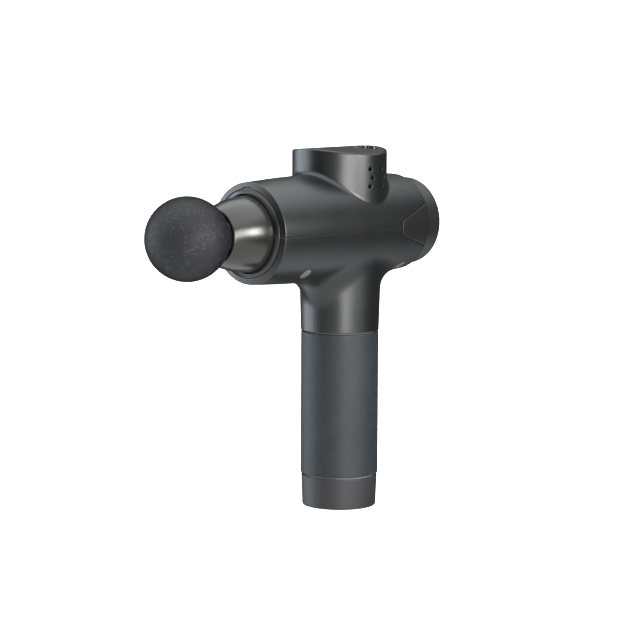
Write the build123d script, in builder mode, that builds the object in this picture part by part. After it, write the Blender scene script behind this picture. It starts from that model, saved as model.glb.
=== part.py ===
from build123d import *

import os
from math import cos, radians, sin, sqrt

# A pistol-shaped percussion massage gun.
#
# Frame: the origin is the centre of the base's flat underside. +Z runs up the
# round handle, +X runs forward along the barrel to the massage head, and +Y is
# the gun's left-hand side. All sizes are in millimetres.

# ---------------------------------------------------------------- overall ----
AXIS_Z = 180.6  # height of the barrel's axis
TOP_Z = 231.0  # ridge of the turret's top
WALL = 2.2  # thickness of the casing's wall
SEAM_GAP = 0.35  # visible gap where two casing pieces meet
SLIP = 0.05  # radial clearance of pieces that sit or slide in one another
PICK_NEAR = 0.5  # how close an edge lies to a place for it to be picked there
EDGE_MARGIN = 5.0  # how far a picked edge keeps from the ends of its region
POST_RADIUS = 2.0  # posts that carry the small boards
POST_COUNT = 3

# ----------------------------------------------------------------- barrel ----
BARREL_CREST_X = 20.0
BARREL_CREST_RADIUS = 34.1
BARREL_CURVE_RADIUS = 880.0  # the barrel's side is a very shallow arc
BARREL_REAR_X = -51.5
BARREL_FRONT_X = 83.4
REAR_EDGE_RADIUS = 2.0
FRONT_EDGE_RADIUS = 0.5
LIP_RADIUS = 27.8  # mouth of the casing, which the front bezel fills
LIP_LENGTH = 2.8
LIP_REAR_X = BARREL_FRONT_X - LIP_LENGTH
MOUTH_CUT_LENGTH = 3 * LIP_LENGTH  # long enough to pass right through the coned front face
FRONT_CONE_RISE = 1.0  # how far the front face leans forward at its mouth
PARTING_Z = AXIS_Z - 0.5  # seam between the upper and the lower shell

# ----------------------------------------------------------------- turret ----
TURRET_X = 1.15  # the turret, the motor and the crank share this vertical axis
TURRET_RADIUS = 30.3
TURRET_SAG = 3.7  # drop of the crowned top at the turret's side
CROWN_REACH = 40.3  # half width of the surface the crown is cut with
TURRET_BASE_FILLET = 4.0
TURRET_EDGE_RADIUS = 0.9
TURRET_CAP_RADIUS = 28.9
VENT_RADIUS = 1.4
VENT_HEIGHTS = (37.8, 32.3, 26.9)  # above the barrel's axis
VENT_ANGLES = ((-7.5, 14.0), (-3.5, 20.0), (-7.5, 15.0))  # from +Y to the rear

# ----------------------------------------------------------- neck and grip ----
NECK_BOTTOM_Z = 114.0
NECK_RADIUS = 25.1
NECK_TAPER = 0.0304  # growth of the neck's radius per millimetre of height
NECK_BORE_RADIUS = 23.1
NECK_TOP_RADIUS = NECK_RADIUS + NECK_TAPER * (AXIS_Z - NECK_BOTTOM_Z)
NECK_FILLET = 20.0
GRIP_RADIUS = 25.0
GRIP_BOTTOM_Z = 21.0
GRIP_TOP_Z = 113.2
GRIP_EDGE_RADIUS = 0.6
TUBE_RADIUS = 23.0
TUBE_BORE_RADIUS = 21.2
TUBE_BOTTOM_Z = 10.0
TUBE_TOP_Z = 127.0
BASE_TOP_Z = 20.0
BASE_TOP_RADIUS = 24.5
BASE_BOTTOM_RADIUS = 23.7
BASE_FLOOR = 2.6
BASE_EDGE_RADIUS = 1.2
BASE_TOP_EDGE_RADIUS = 0.4
BASE_SCREW_Y = 17.5
BASE_SCREW_TOP_Z = 18.0
BASE_PILLAR_RADIUS = 3.5
TUBE_BOSS_RADIUS = 3.9
TUBE_BOSS_TOP_Z = 20.0

# --------------------------------------------------------------- rear cap ----
CAP_RADIUS = 28.3
CAP_REAR_X = -67.8
CAP_EDGE_RADIUS = 4.6
COLLAR_FRONT_X = -47.0
COLLAR_RADIUS = 28.7
COLLAR_BORE_RADIUS = 26.2
CAP_FLOOR = 2.5
TAB_THICKNESS = 3.2
TAB_ROOT_X = -56.0
TAB_TIP_X = -23.6
TAB_CORNER_RADIUS = 1.6
TAB_OUTLINE = (
    (TAB_ROOT_X, 12.6),
    (-49.0, 12.6),
    (-25.4, 4.5),
    (TAB_TIP_X, 2.6),
    (TAB_TIP_X, -4.8),
    (-27.2, -6.8),
    (-49.0, -13.7),
    (TAB_ROOT_X, -13.7),
)  # x, and height above the barrel's axis
LENS_RADIUS = 17.0
LENS_THICKNESS = 1.6
LENS_LEDGE = 1.5
LENS_CHAMFER = 0.3
DISPLAY_BOARD_X = -62.5
DISPLAY_BOARD_RADIUS = 24.0
DISPLAY_POST_CIRCLE = 21.0
DISPLAY_SIZE = (22.0, 14.0, 2.2)

# ------------------------------------------------------------ case screws ----
CASE_SCREW_SPOTS = ((54.5, 21.0), (54.5, -21.0), (-38.0, 17.0), (-38.0, -17.0))
PLUG_WELL_RADIUS = 3.7
BOSS_RADIUS = 5.6
UPPER_BOSS_RADIUS = 4.5
SCREW_RADIUS = 1.5
SCREW_HOLE_RADIUS = 1.7
SCREW_HEAD_RADIUS = 2.8
SCREW_HEAD_HEIGHT = 2.2
SCREW_SEAT_Z = AXIS_Z - 18.0
SCREW_REACH = 9.0  # thread length above the seam
SCREW_END_ROOM = 1.0  # free depth past a screw's end
HEX_RECESS_RADIUS = 1.3
HEX_SIDES = 6
CROSS_RECESS = (3.0, 0.7, 0.8)
HEAD_CLEARANCE = 0.3
PLUG_RECESS = 0.3  # how far a plug's face sits back from the casing around it

# ------------------------------------------------------- bezel, nose, head ----
BEZEL_RADIUS = LIP_RADIUS - SEAM_GAP
BEZEL_BORE_RADIUS = 25.0
BEZEL_KEY_WIDTH = 12.0
BEZEL_KEY_HEIGHT = 1.1
BEZEL_KEY_SLOPE = 32.0
BEZEL_FLANGE_RADIUS = 29.2
BEZEL_FLANGE_THICKNESS = 2.0
NOSE_BASE_X = 84.2
NOSE_TIP_X = 113.0
NOSE_BASE_RADIUS = 23.7
NOSE_CURVE_RADIUS = 66.0
NOSE_FLANGE_RADIUS = 24.5
NOSE_MOUTH_RADIUS = 14.7
NOSE_BORE_RADIUS = 16.5
NOSE_REAR_X = 76.0
NOSE_REAR_FLANGE_RADIUS = 28.5
NOSE_REAR_FLANGE_THICKNESS = 2.0
NOSE_SHOULDER_X = 83.9
NOSE_SHOULDER_DROP = 0.3
NOSE_INNER_X = 92.2  # where the cone's inside turns from the tube part to the taper
NOSE_INNER_RADIUS = 20.4
NOSE_TIP_FILLET = 0.7
SEAL_REAR_X = 107.0
SEAL_FRONT_X = 110.9
SEAL_LIP_X = (108.0, 108.5)  # the lip's two edges, close around the ram
SEAL_LIP_RADIUS = 11.4
SEAL_REAR_RADIUS = 13.0
SEAL_FACE_RADIUS = 13.7
BALL_X = 136.0
BALL_RADIUS = 26.0
STEM_RADIUS = 9.0 - SLIP
STEM_REAR_X = 84.0
STEM_FRONT_X = 125.0
STEM_CHAMFER = 1.0
RING_STATIONS_X = (89.0, 95.0)
RING_CENTRE_RADIUS = 8.05
RING_SECTION_RADIUS = 0.9

# ------------------------------------------------------------- slider crank ----
CRANK_RADIUS = 6.0  # half of the 12 mm stroke
ROD_LENGTH = 50.0
PIN_X = TURRET_X - CRANK_RADIUS  # crank pin at rest, with the head fully back
WRIST_X = PIN_X + ROD_LENGTH
PISTON_RADIUS = 11.0
PISTON_REAR_X = 36.0
PISTON_FRONT_X = 108.0
SOCKET_RADIUS = 9.0
SOCKET_DEPTH = 28.0
ROD_THICKNESS = 7.0
FORK_GAP = 7.6
FORK_FRONT_X = 54.0
WRIST_PIN_RADIUS = 3.0
WRIST_PIN_LENGTH = 19.0
CRANK_PIN_RADIUS = 4.0
CRANK_PIN_END_GAP = 0.3  # between the pin's end and the crank disc
CRANK_PIN_POCKET = 5.0
BIG_END_RADIUS = 12.0
BIG_BEARING_RADIUS = 8.0
BIG_BEARING_WIDTH = 5.0
SMALL_END_RADIUS = 7.5
SMALL_BUSH_RADIUS = 4.5
ROD_BEAM_WIDTH = 9.0
ROD_POCKET = (28.5, 6.0, 2.0)  # the weight-saving pocket in each side of the rod
PISTON_CHAMFER = 0.6
CRANK_BOTTOM_Z = AXIS_Z + 4.5
CRANK_TOP_Z = AXIS_Z + 12.0
COUNTERWEIGHT_RADIUS = 20.0
CRANK_HUB_RADIUS = 12.0

# ------------------------------------------------------------------ motor ----
SHAFT_RADIUS = 2.5
BEARING_RADIUS = 6.5
BEARING_WIDTH = 5.0
BEARING_TUBE_RADIUS = 9.0
BEARING_TUBE_TOP_Z = AXIS_Z + 36.0
LOWER_BEARING_Z = AXIS_Z + 13.5
STATOR_RADIUS = 20.4
STATOR_CORE_RADIUS = 13.2
TOOTH_TIP_THICKNESS = 2.0
SLOT_CUT_LENGTH = 3 * TOOTH_TIP_THICKNESS  # long enough to pass through the tips of the teeth
TOOTH_WIDTH = 3.4
SLOT_OPENING = 2.4
COIL_DEPTH = 4.3
COIL_TIP_GAP = 0.4
COIL_WIDTH = 6.0
COIL_OVERHANG = 2.0
COIL_CORNER_RADIUS = 0.8
STATOR_TEETH = 12
STATOR_BOTTOM_Z = AXIS_Z + 19.0
STATOR_HEIGHT = 14.0
MAGNET_COUNT = 14
MAGNET_INNER_RADIUS = 20.9
MAGNET_GAP = 1.0
CAN_RADIUS = 25.0
CAN_INNER_RADIUS = 23.1
CAN_BOTTOM_Z = AXIS_Z + 18.0
CAN_TOP_Z = AXIS_Z + 38.5
CAN_PLATE = 2.0
CAN_EDGE_RADIUS = 1.2
CAN_HOLE_CIRCLE = 14.0
CAN_HOLE_RADIUS = 4.5
CAN_HOLE_COUNT = 6
HUB_RADIUS = 6.0
HUB_TOP_Z = AXIS_Z + 41.0

# ------------------------------------------------------------ drive frame ----
PLATE_BOTTOM_Z = AXIS_Z + 13.0
PLATE_THICKNESS = 3.0
PLATE_RADIUS = 26.0
ARM_HALF_WIDTH = 11.0
WALL_REAR_X = 60.0
WALL_THICKNESS = 4.0
TAIL_REAR_X = -47.0
TAIL_HALF_WIDTH = 5.0
GUIDE_RADIUS = 14.0
GUIDE_BORE_RADIUS = 12.5
GUIDE_FRONT_X = 104.0
GUIDE_FLANGE_RADIUS = 20.0
FLANGE_SCREW_OFFSET = 12.0
FLANGE_THICKNESS = 3.0
FRAME_WALL_HALF_WIDTH = 20.0
FRAME_WALL_DROP = 20.0
RIB_REAR_X = 71.0
RIB_WIDTH = 4.0
DAMPER_RADIUS = 17.1
TAIL_DAMPER_X = (-46.0, -38.0)
TAIL_DAMPER_HALF_WIDTH = 8.0
TAIL_DAMPER_BOTTOM = 10.0  # above the barrel's axis
TAIL_DAMPER_TOP = 19.0
BUSH_LENGTH = 12.0
BUSH_REARS_X = (61.0, 91.0)
DAMPER_FILLET = 1.0
PLATE_HOLE_CIRCLE = 20.0
PLATE_HOLE_RADIUS = 3.0
PLATE_HOLE_COUNT = 6
FRAME_CORNER_RADIUS = 6.0

# --------------------------------------------------------- control boards ----
BOARD_THICKNESS = 1.6
CONTROLLER_Z = AXIS_Z - 19.0
CONTROLLER_X = (-31.0, 30.0)
CONTROLLER_HALF_WIDTH = 15.0
BOARD_RIB_HALF_WIDTH = 12.0
CHIP_GRID = (3, 2)
TRANSISTOR_PITCH = (9.0, 18.0)
TRANSISTOR_SIZE = (6.5, 6.0, 2.3)
CAPACITOR_X = 20.0
CAPACITOR_PITCH = 11.0
CAPACITOR_RADIUS = 4.0
CAPACITOR_HEIGHT = 6.0
PROCESSOR_X = -18.0
PROCESSOR_SIZE = (7.0, 7.0, 1.2)
RIBBON_THICKNESS = 0.4
RIBBON_BEND = 2.0
DISPLAY_RIBBON_Y = -7.8
DISPLAY_RIBBON_WIDTH = 4.4
DISPLAY_RIBBON_X = (-50.0, -37.0, -26.0)  # where it leaves the cap, meets and ends on the board
DISPLAY_RIBBON_Z = (AXIS_Z + 3.0, AXIS_Z - 6.0)  # its upper end, and where it turns forward
KEY_RIBBON_X = -24.45
KEY_RIBBON_Y = -8.5
KEY_RIBBON_WIDTH = 4.0
KEY_RIBBON_FEET = (6.0, 3.5)  # its runs on the upper and the lower board
LEAD_RADIUS = 0.8
LEAD_BEND = 1.2
LEAD_Y = (-1.1, 1.1)
LEAD_X = -19.9
LEAD_TOP_X = -25.9
LEAD_TURNS_Z = (153.7, 158.6)
MOTOR_LEAD_RADIUS = 0.6
MOTOR_LEAD_BEND = 2.0
MOTOR_LEAD_Y = (8.0, 10.0, 12.0)
MOTOR_LEAD_ENDS_X = (-29.0, -18.25)
MOTOR_LEAD_DROP = 1.0  # below the rotor can

# ---------------------------------------------------------------- battery ----
CELL_RADIUS = 9.1
CELL_LENGTH = 65.0
CELL_CIRCLE_RADIUS = 10.9
CELL_COUNT = 3  # per layer
CELL_BOTTOMS_Z = (26.0, 91.7)
HOLDER_RADIUS = 20.9
HOLDER_THICKNESS = 5.0
HOLDER_BOTTOMS_Z = (28.0, 84.0, 94.0, 148.0)
LINK_THICKNESS = 0.5
LINK_BOTTOMS_Z = (25.45, 91.1, 156.75)
BATTERY_BOARD_Z = 21.0
BATTERY_CHIP_PITCH = (10.0, 8.0)
BATTERY_CHIP_SIZE = (5.0, 4.0, 1.5)
HOLDER_RELIEF_RADIUS = 3.2
LINK_CORNER_RADIUS = 4.0

# ------------------------------------------------------- the base's fittings ----
SWITCH_X = -8.5
SWITCH_FLANGE = (16.0, 11.0)
SWITCH_BODY = (13.0, 8.4)
SWITCH_CAVITY = (12.0, 7.0)
SWITCH_FLANGE_TOP_Z = 1.6
SWITCH_CAVITY_TOP_Z = 10.0
SWITCH_TOP_Z = 13.0
SWITCH_PIN_PITCH = 6.0
SWITCH_PIN_SIZE = (0.8, 4.0, 4.0)
ROCKER_SIZE = (10.4, 6.5)
ROCKER_PIVOT_Z = 4.6
ROCKER_FACE_DROP = 3.1  # from the pivot down to the rocker's face
ROCKER_TILT = 8.0
ROCKER_FACE_SAG = 0.6
ROCKER_BACK_INSET = 0.6
ROCKER_BACK_HEIGHT = 1.6  # above the pivot
TRUNNION_RADIUS = 0.9
TRUNNION_REACH = 0.4  # into the switch body's wall, on each side
TRUNNION_SEAT = 0.5
JACK_X = 9.0
JACK_RADIUS = 4.2
JACK_BODY = 9.0
JACK_TOP_Z = 13.0
JACK_SOCKET_RADIUS = 2.85
JACK_SOCKET_TOP_Z = 10.0
JACK_PIN_RADIUS = 1.0
JACK_PIN_ROUND = 0.4
FLUSH = 0.4  # how far the fittings in the base sit back from its underside

# ------------------------------------------------------- keys on the turret ----
POWER_KEY = (-10.4, 10.9)
SPEED_KEY = (-15.1, 14.2)
LED_SPOT = (-5.7, 7.8)
KEY_RADIUS = 2.2
KEY_HOLE_RADIUS = 2.5
KEY_PROUD = 1.5
KEY_FLANGE_RADIUS = 2.75
KEY_LIFT = 0.7  # free space under a key, a little more than its travel
KEY_BOARD_Z = AXIS_Z + 43.6
KEY_BOARD_RADIUS = 24.0
KEY_POST_CIRCLE = 21.5
KEY_POST_HEIGHT = 3.2
KEY_HOLE_REACH = 40.0  # long enough to pass right through the turret's cap
KEY_EDGE_RADIUS = 0.5
KEY_DISH_RADIUS = 1.3
KEY_DISH_DEPTH = 0.35
KEY_DISH_TAPER = 45.0
KEY_FLANGE_THICKNESS = 0.8
LED_RADIUS = 1.25

BARREL_AXIS = Axis((0, 0, AXIS_Z), (1, 0, 0))
BARREL_SIDE = Plane(origin=(0, 0, AXIS_Z), x_dir=(1, 0, 0), z_dir=(0, -1, 0))
STANDING = (Align.CENTER, Align.CENTER, Align.MIN)


def across(x):
    """The plane square to the barrel at station x: local x is +Y, local y is +Z."""
    return Plane(origin=(x, 0, AXIS_Z), x_dir=(0, 1, 0), z_dir=(1, 0, 0))


def level(z, x=0.0):
    """A horizontal plane at height z, centred on the given x."""
    return Plane(origin=(x, 0, z))


def barrel_radius(x):
    """Radius of the barrel's outer surface at station x."""
    return BARREL_CREST_RADIUS - (x - BARREL_CREST_X) ** 2 / (2 * BARREL_CURVE_RADIUS)


def nose_radius(x):
    """Radius of the nose cone's outer curve at station x."""
    fall = NOSE_CURVE_RADIUS - sqrt(NOSE_CURVE_RADIUS**2 - (x - NOSE_BASE_X) ** 2)
    return NOSE_BASE_RADIUS - fall


def crown_z(y):
    """Height of the turret's crowned top at distance y from the centre plane."""
    return TOP_Z - TURRET_SAG * (y / TURRET_RADIUS) ** 2


def front_face_x(radius):
    """Station of the slightly coned front face at a distance from the barrel's axis."""
    rim = barrel_radius(BARREL_FRONT_X)
    return BARREL_FRONT_X + FRONT_CONE_RISE * (rim - radius) / (rim - LIP_RADIUS)


def tube(plane, outer, inner, length):
    """A plain tube standing on a plane."""
    with BuildPart() as piece:
        with BuildSketch(plane):
            Circle(outer)
            Circle(inner, mode=Mode.SUBTRACT)
        extrude(amount=length)
    return piece


def block(x_range, y_range, z_range):
    """A box given by its ranges."""
    middle = [(low + high) / 2 for low, high in (x_range, y_range, z_range)]
    size = [high - low for low, high in (x_range, y_range, z_range)]
    with BuildPart() as piece:
        with Locations(Vector(*middle)):
            Box(*size)
    return piece


def wire(points, radius, bend):
    """A round wire along a path of straight runs with rounded bends."""
    with BuildPart() as piece:
        with BuildLine():
            path = FilletPolyline(*points, radius=bend)
        with BuildSketch(Plane(origin=path @ 0, z_dir=path % 0)):
            Circle(radius)
        sweep()
    return piece


def spun(points):
    """A closed polygon, given as x and distance from the barrel's axis, turned around that axis."""
    with BuildPart() as piece:
        with BuildSketch(BARREL_SIDE):
            with BuildLine():
                Polyline(*points, close=True)
            make_face()
        revolve(axis=BARREL_AXIS)
    return piece


def above_crown(drop):
    """Everything above the turret's crowned top when that is lowered by drop."""
    ends = crown_z(CROWN_REACH) - drop
    left = (-CROWN_REACH, ends)
    right = (CROWN_REACH, ends)
    with BuildPart() as piece:
        with BuildSketch(Plane.YZ):
            with BuildLine():
                ThreePointArc(left, (0, TOP_Z - drop), right)
                Polyline(right, (CROWN_REACH, TOP_Z + CROWN_REACH), (-CROWN_REACH, TOP_Z + CROWN_REACH), left)
            make_face()
        extrude(amount=2 * CROWN_REACH, both=True)
    return piece


def barrel_solid(inset, rear_x, front_x, front_points):
    """The barrel's curve, set in by inset, turned from rear_x to front_x and on through front_points."""
    rear = (rear_x, barrel_radius(rear_x) - inset)
    crest = (BARREL_CREST_X, BARREL_CREST_RADIUS - inset)
    front = (front_x, barrel_radius(front_x) - inset)
    with BuildPart() as piece:
        with BuildSketch(BARREL_SIDE):
            with BuildLine():
                ThreePointArc(rear, crest, front)
                Polyline(front, *front_points, (rear_x, 0), rear)
            make_face()
        revolve(axis=BARREL_AXIS)
    return piece


def distance_from(x, y, edge):
    """Distance of an edge's middle from a vertical axis."""
    middle = edge @ 0.5
    return sqrt((middle.X - x) ** 2 + (middle.Y - y) ** 2)


def tab_layer(grow, thickness):
    """The layer of the barrel's side inside the tabs' outline, grown by grow on every side."""
    with BuildPart() as piece:
        with BuildSketch(BARREL_SIDE):
            with BuildLine():
                Polyline(*TAB_OUTLINE, close=True)
            make_face()
            fillet(vertices().filter_by(lambda v: v.X > TAB_ROOT_X + PICK_NEAR), TAB_CORNER_RADIUS)
            offset(amount=grow)
        extrude(amount=BARREL_CREST_RADIUS + WALL, both=True)
        inside = barrel_solid(thickness, TAB_ROOT_X - WALL, BARREL_FRONT_X, ((BARREL_FRONT_X, 0),))
        add(inside, mode=Mode.SUBTRACT)
    return piece


def bezel_key(grow):
    """The locating key at the top of the bezel, grown by grow."""
    with BuildPart() as piece:
        with BuildSketch(across(LIP_REAR_X - grow)):
            with Locations((0, BEZEL_RADIUS)):
                Trapezoid(BEZEL_KEY_WIDTH, 2 * BEZEL_KEY_HEIGHT, BEZEL_KEY_SLOPE)
            offset(amount=grow)
        extrude(amount=MOUTH_CUT_LENGTH)
    return piece


def key(spot):
    """A round push key that stands a little proud of the turret's top."""
    foot_z = KEY_BOARD_Z + BOARD_THICKNESS + KEY_LIFT
    with BuildPart() as piece:
        with BuildSketch(Plane(origin=(*spot, foot_z))):
            Circle(KEY_RADIUS)
        extrude(amount=crown_z(spot[1]) + KEY_PROUD - foot_z)
        fillet(piece.edges().group_by(Axis.Z)[-1], KEY_EDGE_RADIUS)
        with BuildSketch(Plane(origin=(*spot, crown_z(spot[1]) + KEY_PROUD))):
            Circle(KEY_DISH_RADIUS)
        extrude(amount=-KEY_DISH_DEPTH, taper=KEY_DISH_TAPER, mode=Mode.SUBTRACT)
        with BuildSketch(Plane(origin=(*spot, foot_z))):
            Circle(KEY_FLANGE_RADIUS)
        extrude(amount=KEY_FLANGE_THICKNESS)
    return piece


def ribbon(points, y_middle, width):
    """A flat cable of the given width, bent along points given as x and z."""
    with BuildPart() as piece:
        with BuildLine():
            route = FilletPolyline(*[(x, y_middle, z) for x, z in points], radius=RIBBON_BEND)
        with BuildSketch(Plane(origin=route @ 0, x_dir=(0, 1, 0), z_dir=route % 0)):
            Rectangle(width, RIBBON_THICKNESS)
        sweep()
    return piece


# ------------------------------------------------ the casing, before its cuts ----
with BuildPart() as casing_form:
    front_points = ((front_face_x(LIP_RADIUS), LIP_RADIUS), (front_face_x(LIP_RADIUS), 0))
    add(barrel_solid(0, BARREL_REAR_X, BARREL_FRONT_X, front_points))
    rims = casing_form.edges().filter_by(GeomType.CIRCLE)
    fillet(rims.filter_by(lambda e: e.center().X < BARREL_REAR_X + PICK_NEAR), REAR_EDGE_RADIUS)
    rims = casing_form.edges().filter_by(GeomType.CIRCLE)
    fillet(rims.filter_by(lambda e: abs(e.center().X - BARREL_FRONT_X) < PICK_NEAR), FRONT_EDGE_RADIUS)
    with BuildSketch(level(AXIS_Z, TURRET_X)):
        Circle(TURRET_RADIUS)
    extrude(amount=TOP_Z - AXIS_Z + TURRET_SAG)
    add(above_crown(0), mode=Mode.SUBTRACT)
    top_rim = casing_form.edges().filter_by(lambda e: (e @ 0.5).Z > TOP_Z - TURRET_SAG - PICK_NEAR)
    fillet(top_rim, TURRET_EDGE_RADIUS)
    turret_foot = casing_form.edges().filter_by(
        lambda e: abs(distance_from(TURRET_X, 0, e) - TURRET_RADIUS) < PICK_NEAR
        and AXIS_Z + EDGE_MARGIN < (e @ 0.5).Z < TOP_Z - 2 * EDGE_MARGIN
        and e.geom_type not in (GeomType.LINE, GeomType.CIRCLE)
    )
    fillet(turret_foot, TURRET_BASE_FILLET)
    with BuildSketch(Plane.XZ):
        with BuildLine():
            Polyline(
                (0, NECK_BOTTOM_Z),
                (NECK_RADIUS, NECK_BOTTOM_Z),
                (NECK_TOP_RADIUS, AXIS_Z),
                (0, AXIS_Z),
                close=True,
            )
        make_face()
    revolve(axis=Axis.Z)
    neck_root = casing_form.edges().filter_by(
        lambda e: abs(distance_from(0, 0, e) - NECK_TOP_RADIUS) < 4 * PICK_NEAR
        and NECK_BOTTOM_Z + EDGE_MARGIN < (e @ 0.5).Z < AXIS_Z - EDGE_MARGIN
        and e.geom_type not in (GeomType.LINE, GeomType.CIRCLE)
    )
    fillet(neck_root, NECK_FILLET)


# ------------------------------------------- the casing's hollow and its cuts ----


with BuildPart() as hollow:
    add(barrel_solid(WALL, BARREL_REAR_X - WALL, LIP_REAR_X, ((LIP_REAR_X, 0),)))
    with BuildSketch(across(LIP_REAR_X - WALL)):
        Circle(LIP_RADIUS)
    extrude(amount=MOUTH_CUT_LENGTH)
    with BuildSketch(level(AXIS_Z, TURRET_X)):
        Circle(TURRET_RADIUS - WALL)
    extrude(amount=TOP_Z - AXIS_Z)
    with BuildSketch(level(NECK_BOTTOM_Z)):
        Circle(NECK_BORE_RADIUS)
    extrude(amount=AXIS_Z - NECK_BOTTOM_Z)

with BuildPart() as cap_pocket:
    with BuildSketch(level(AXIS_Z, TURRET_X)):
        Circle(TURRET_CAP_RADIUS + SEAM_GAP)
    extrude(amount=TOP_Z - AXIS_Z + WALL)
    add(above_crown(WALL), mode=Mode.INTERSECT)

# The ribs that hold the drive: two half rings in front, two cheeks and a stop behind.
cheek_x = TAIL_DAMPER_X
cheek_inner_y = TAIL_DAMPER_HALF_WIDTH + SLIP
cheek_outer_y = cheek_inner_y + WALL
cheek_z = (AXIS_Z + TAIL_DAMPER_BOTTOM, AXIS_Z + BARREL_CREST_RADIUS)
stop_z = (AXIS_Z + TAIL_DAMPER_TOP + SLIP, AXIS_Z + BARREL_CREST_RADIUS)
board_rib_y = (-BOARD_RIB_HALF_WIDTH, BOARD_RIB_HALF_WIDTH)
board_rib_z = (AXIS_Z - BARREL_CREST_RADIUS, CONTROLLER_Z - SLIP)
with BuildPart() as ribs:
    add(tube(across(RIB_REAR_X), BARREL_CREST_RADIUS, DAMPER_RADIUS + SLIP, RIB_WIDTH))
    add(block(cheek_x, (cheek_inner_y, cheek_outer_y), cheek_z))
    add(block(cheek_x, (-cheek_outer_y, -cheek_inner_y), cheek_z))
    add(block(cheek_x, (-cheek_outer_y, cheek_outer_y), stop_z))
    for rib_x in (CONTROLLER_X[0] + WALL, CONTROLLER_X[1] - WALL):
        add(block((rib_x - WALL / 2, rib_x + WALL / 2), board_rib_y, board_rib_z))
    with BuildSketch(level(AXIS_Z - BARREL_CREST_RADIUS)):
        with Locations(*CASE_SCREW_SPOTS):
            Circle(BOSS_RADIUS)
    extrude(amount=PARTING_Z - AXIS_Z + BARREL_CREST_RADIUS)
    with BuildSketch(level(PARTING_Z)):
        with Locations(*CASE_SCREW_SPOTS):
            Circle(UPPER_BOSS_RADIUS)
    extrude(amount=BARREL_CREST_RADIUS)
    add(barrel_solid(WALL / 2, BARREL_REAR_X, LIP_REAR_X, ((LIP_REAR_X, 0),)), mode=Mode.INTERSECT)

with BuildPart() as casing:
    add(casing_form)
    add(hollow, mode=Mode.SUBTRACT)
    add(ribs)
    add(cap_pocket, mode=Mode.SUBTRACT)
    add(tab_layer(SEAM_GAP, TAB_THICKNESS), mode=Mode.SUBTRACT)
    add(bezel_key(SEAM_GAP), mode=Mode.SUBTRACT)

with BuildPart() as upper_shell:
    add(casing)
    split(bisect_by=Plane.XY.offset(PARTING_Z + SEAM_GAP / 2), keep=Keep.TOP)
    for side in (1, -1):
        for height, angles in zip(VENT_HEIGHTS, VENT_ANGLES):
            for angle in angles:
                outward = (-sin(radians(angle)), side * cos(radians(angle)), 0)
                with BuildSketch(Plane(origin=(TURRET_X, 0, AXIS_Z + height), z_dir=outward)):
                    Circle(VENT_RADIUS)
                extrude(amount=TURRET_RADIUS + WALL, mode=Mode.SUBTRACT)
    with BuildSketch(level(PARTING_Z)):
        with Locations(*CASE_SCREW_SPOTS):
            Circle(SCREW_RADIUS)
    extrude(amount=SCREW_REACH + SCREW_END_ROOM, mode=Mode.SUBTRACT)

post_z = (AXIS_Z - BARREL_CREST_RADIUS, AXIS_Z + TAIL_DAMPER_BOTTOM - SLIP)
with BuildPart() as tail_post:
    add(block(TAIL_DAMPER_X, (-TAIL_HALF_WIDTH, TAIL_HALF_WIDTH), post_z))
    add(barrel_solid(WALL / 2, BARREL_REAR_X, LIP_REAR_X, ((LIP_REAR_X, 0),)), mode=Mode.INTERSECT)

with BuildPart() as lower_shell:
    add(casing)
    split(bisect_by=Plane.XY.offset(PARTING_Z - SEAM_GAP / 2), keep=Keep.BOTTOM)
    add(tail_post)
    with Locations(*[(x, y, AXIS_Z - BARREL_CREST_RADIUS) for x, y in CASE_SCREW_SPOTS]):
        well_depth = SCREW_SEAT_Z - AXIS_Z + BARREL_CREST_RADIUS
        Cylinder(PLUG_WELL_RADIUS, well_depth, align=STANDING, mode=Mode.SUBTRACT)
        Cylinder(SCREW_HOLE_RADIUS, 2 * BARREL_CREST_RADIUS, align=STANDING, mode=Mode.SUBTRACT)

with BuildPart() as turret_cap:
    with BuildSketch(level(AXIS_Z, TURRET_X)):
        Circle(TURRET_CAP_RADIUS)
    extrude(amount=TOP_Z - AXIS_Z + WALL)
    add(above_crown(0), mode=Mode.SUBTRACT)
    add(above_crown(WALL - SLIP), mode=Mode.INTERSECT)
    fillet(turret_cap.faces().sort_by(Axis.Z)[-1].edges(), SEAM_GAP)
    with BuildSketch(level(KEY_BOARD_Z + BOARD_THICKNESS + SLIP, TURRET_X)):
        with PolarLocations(KEY_POST_CIRCLE, POST_COUNT, start_angle=180 / POST_COUNT):
            Circle(POST_RADIUS)
    extrude(amount=KEY_POST_HEIGHT)
    with Locations(*[(x, y, KEY_BOARD_Z) for x, y in (POWER_KEY, SPEED_KEY)]):
        Cylinder(KEY_HOLE_RADIUS, KEY_HOLE_REACH, mode=Mode.SUBTRACT)
    with Locations((*LED_SPOT, KEY_BOARD_Z)):
        Cylinder(LED_RADIUS + SLIP, KEY_HOLE_REACH, mode=Mode.SUBTRACT)

# --------------------------------------------------------------- rear cap ----
with BuildPart() as tabs:
    add(tab_layer(0, TAB_THICKNESS))
    add(casing_form, mode=Mode.INTERSECT)

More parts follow.
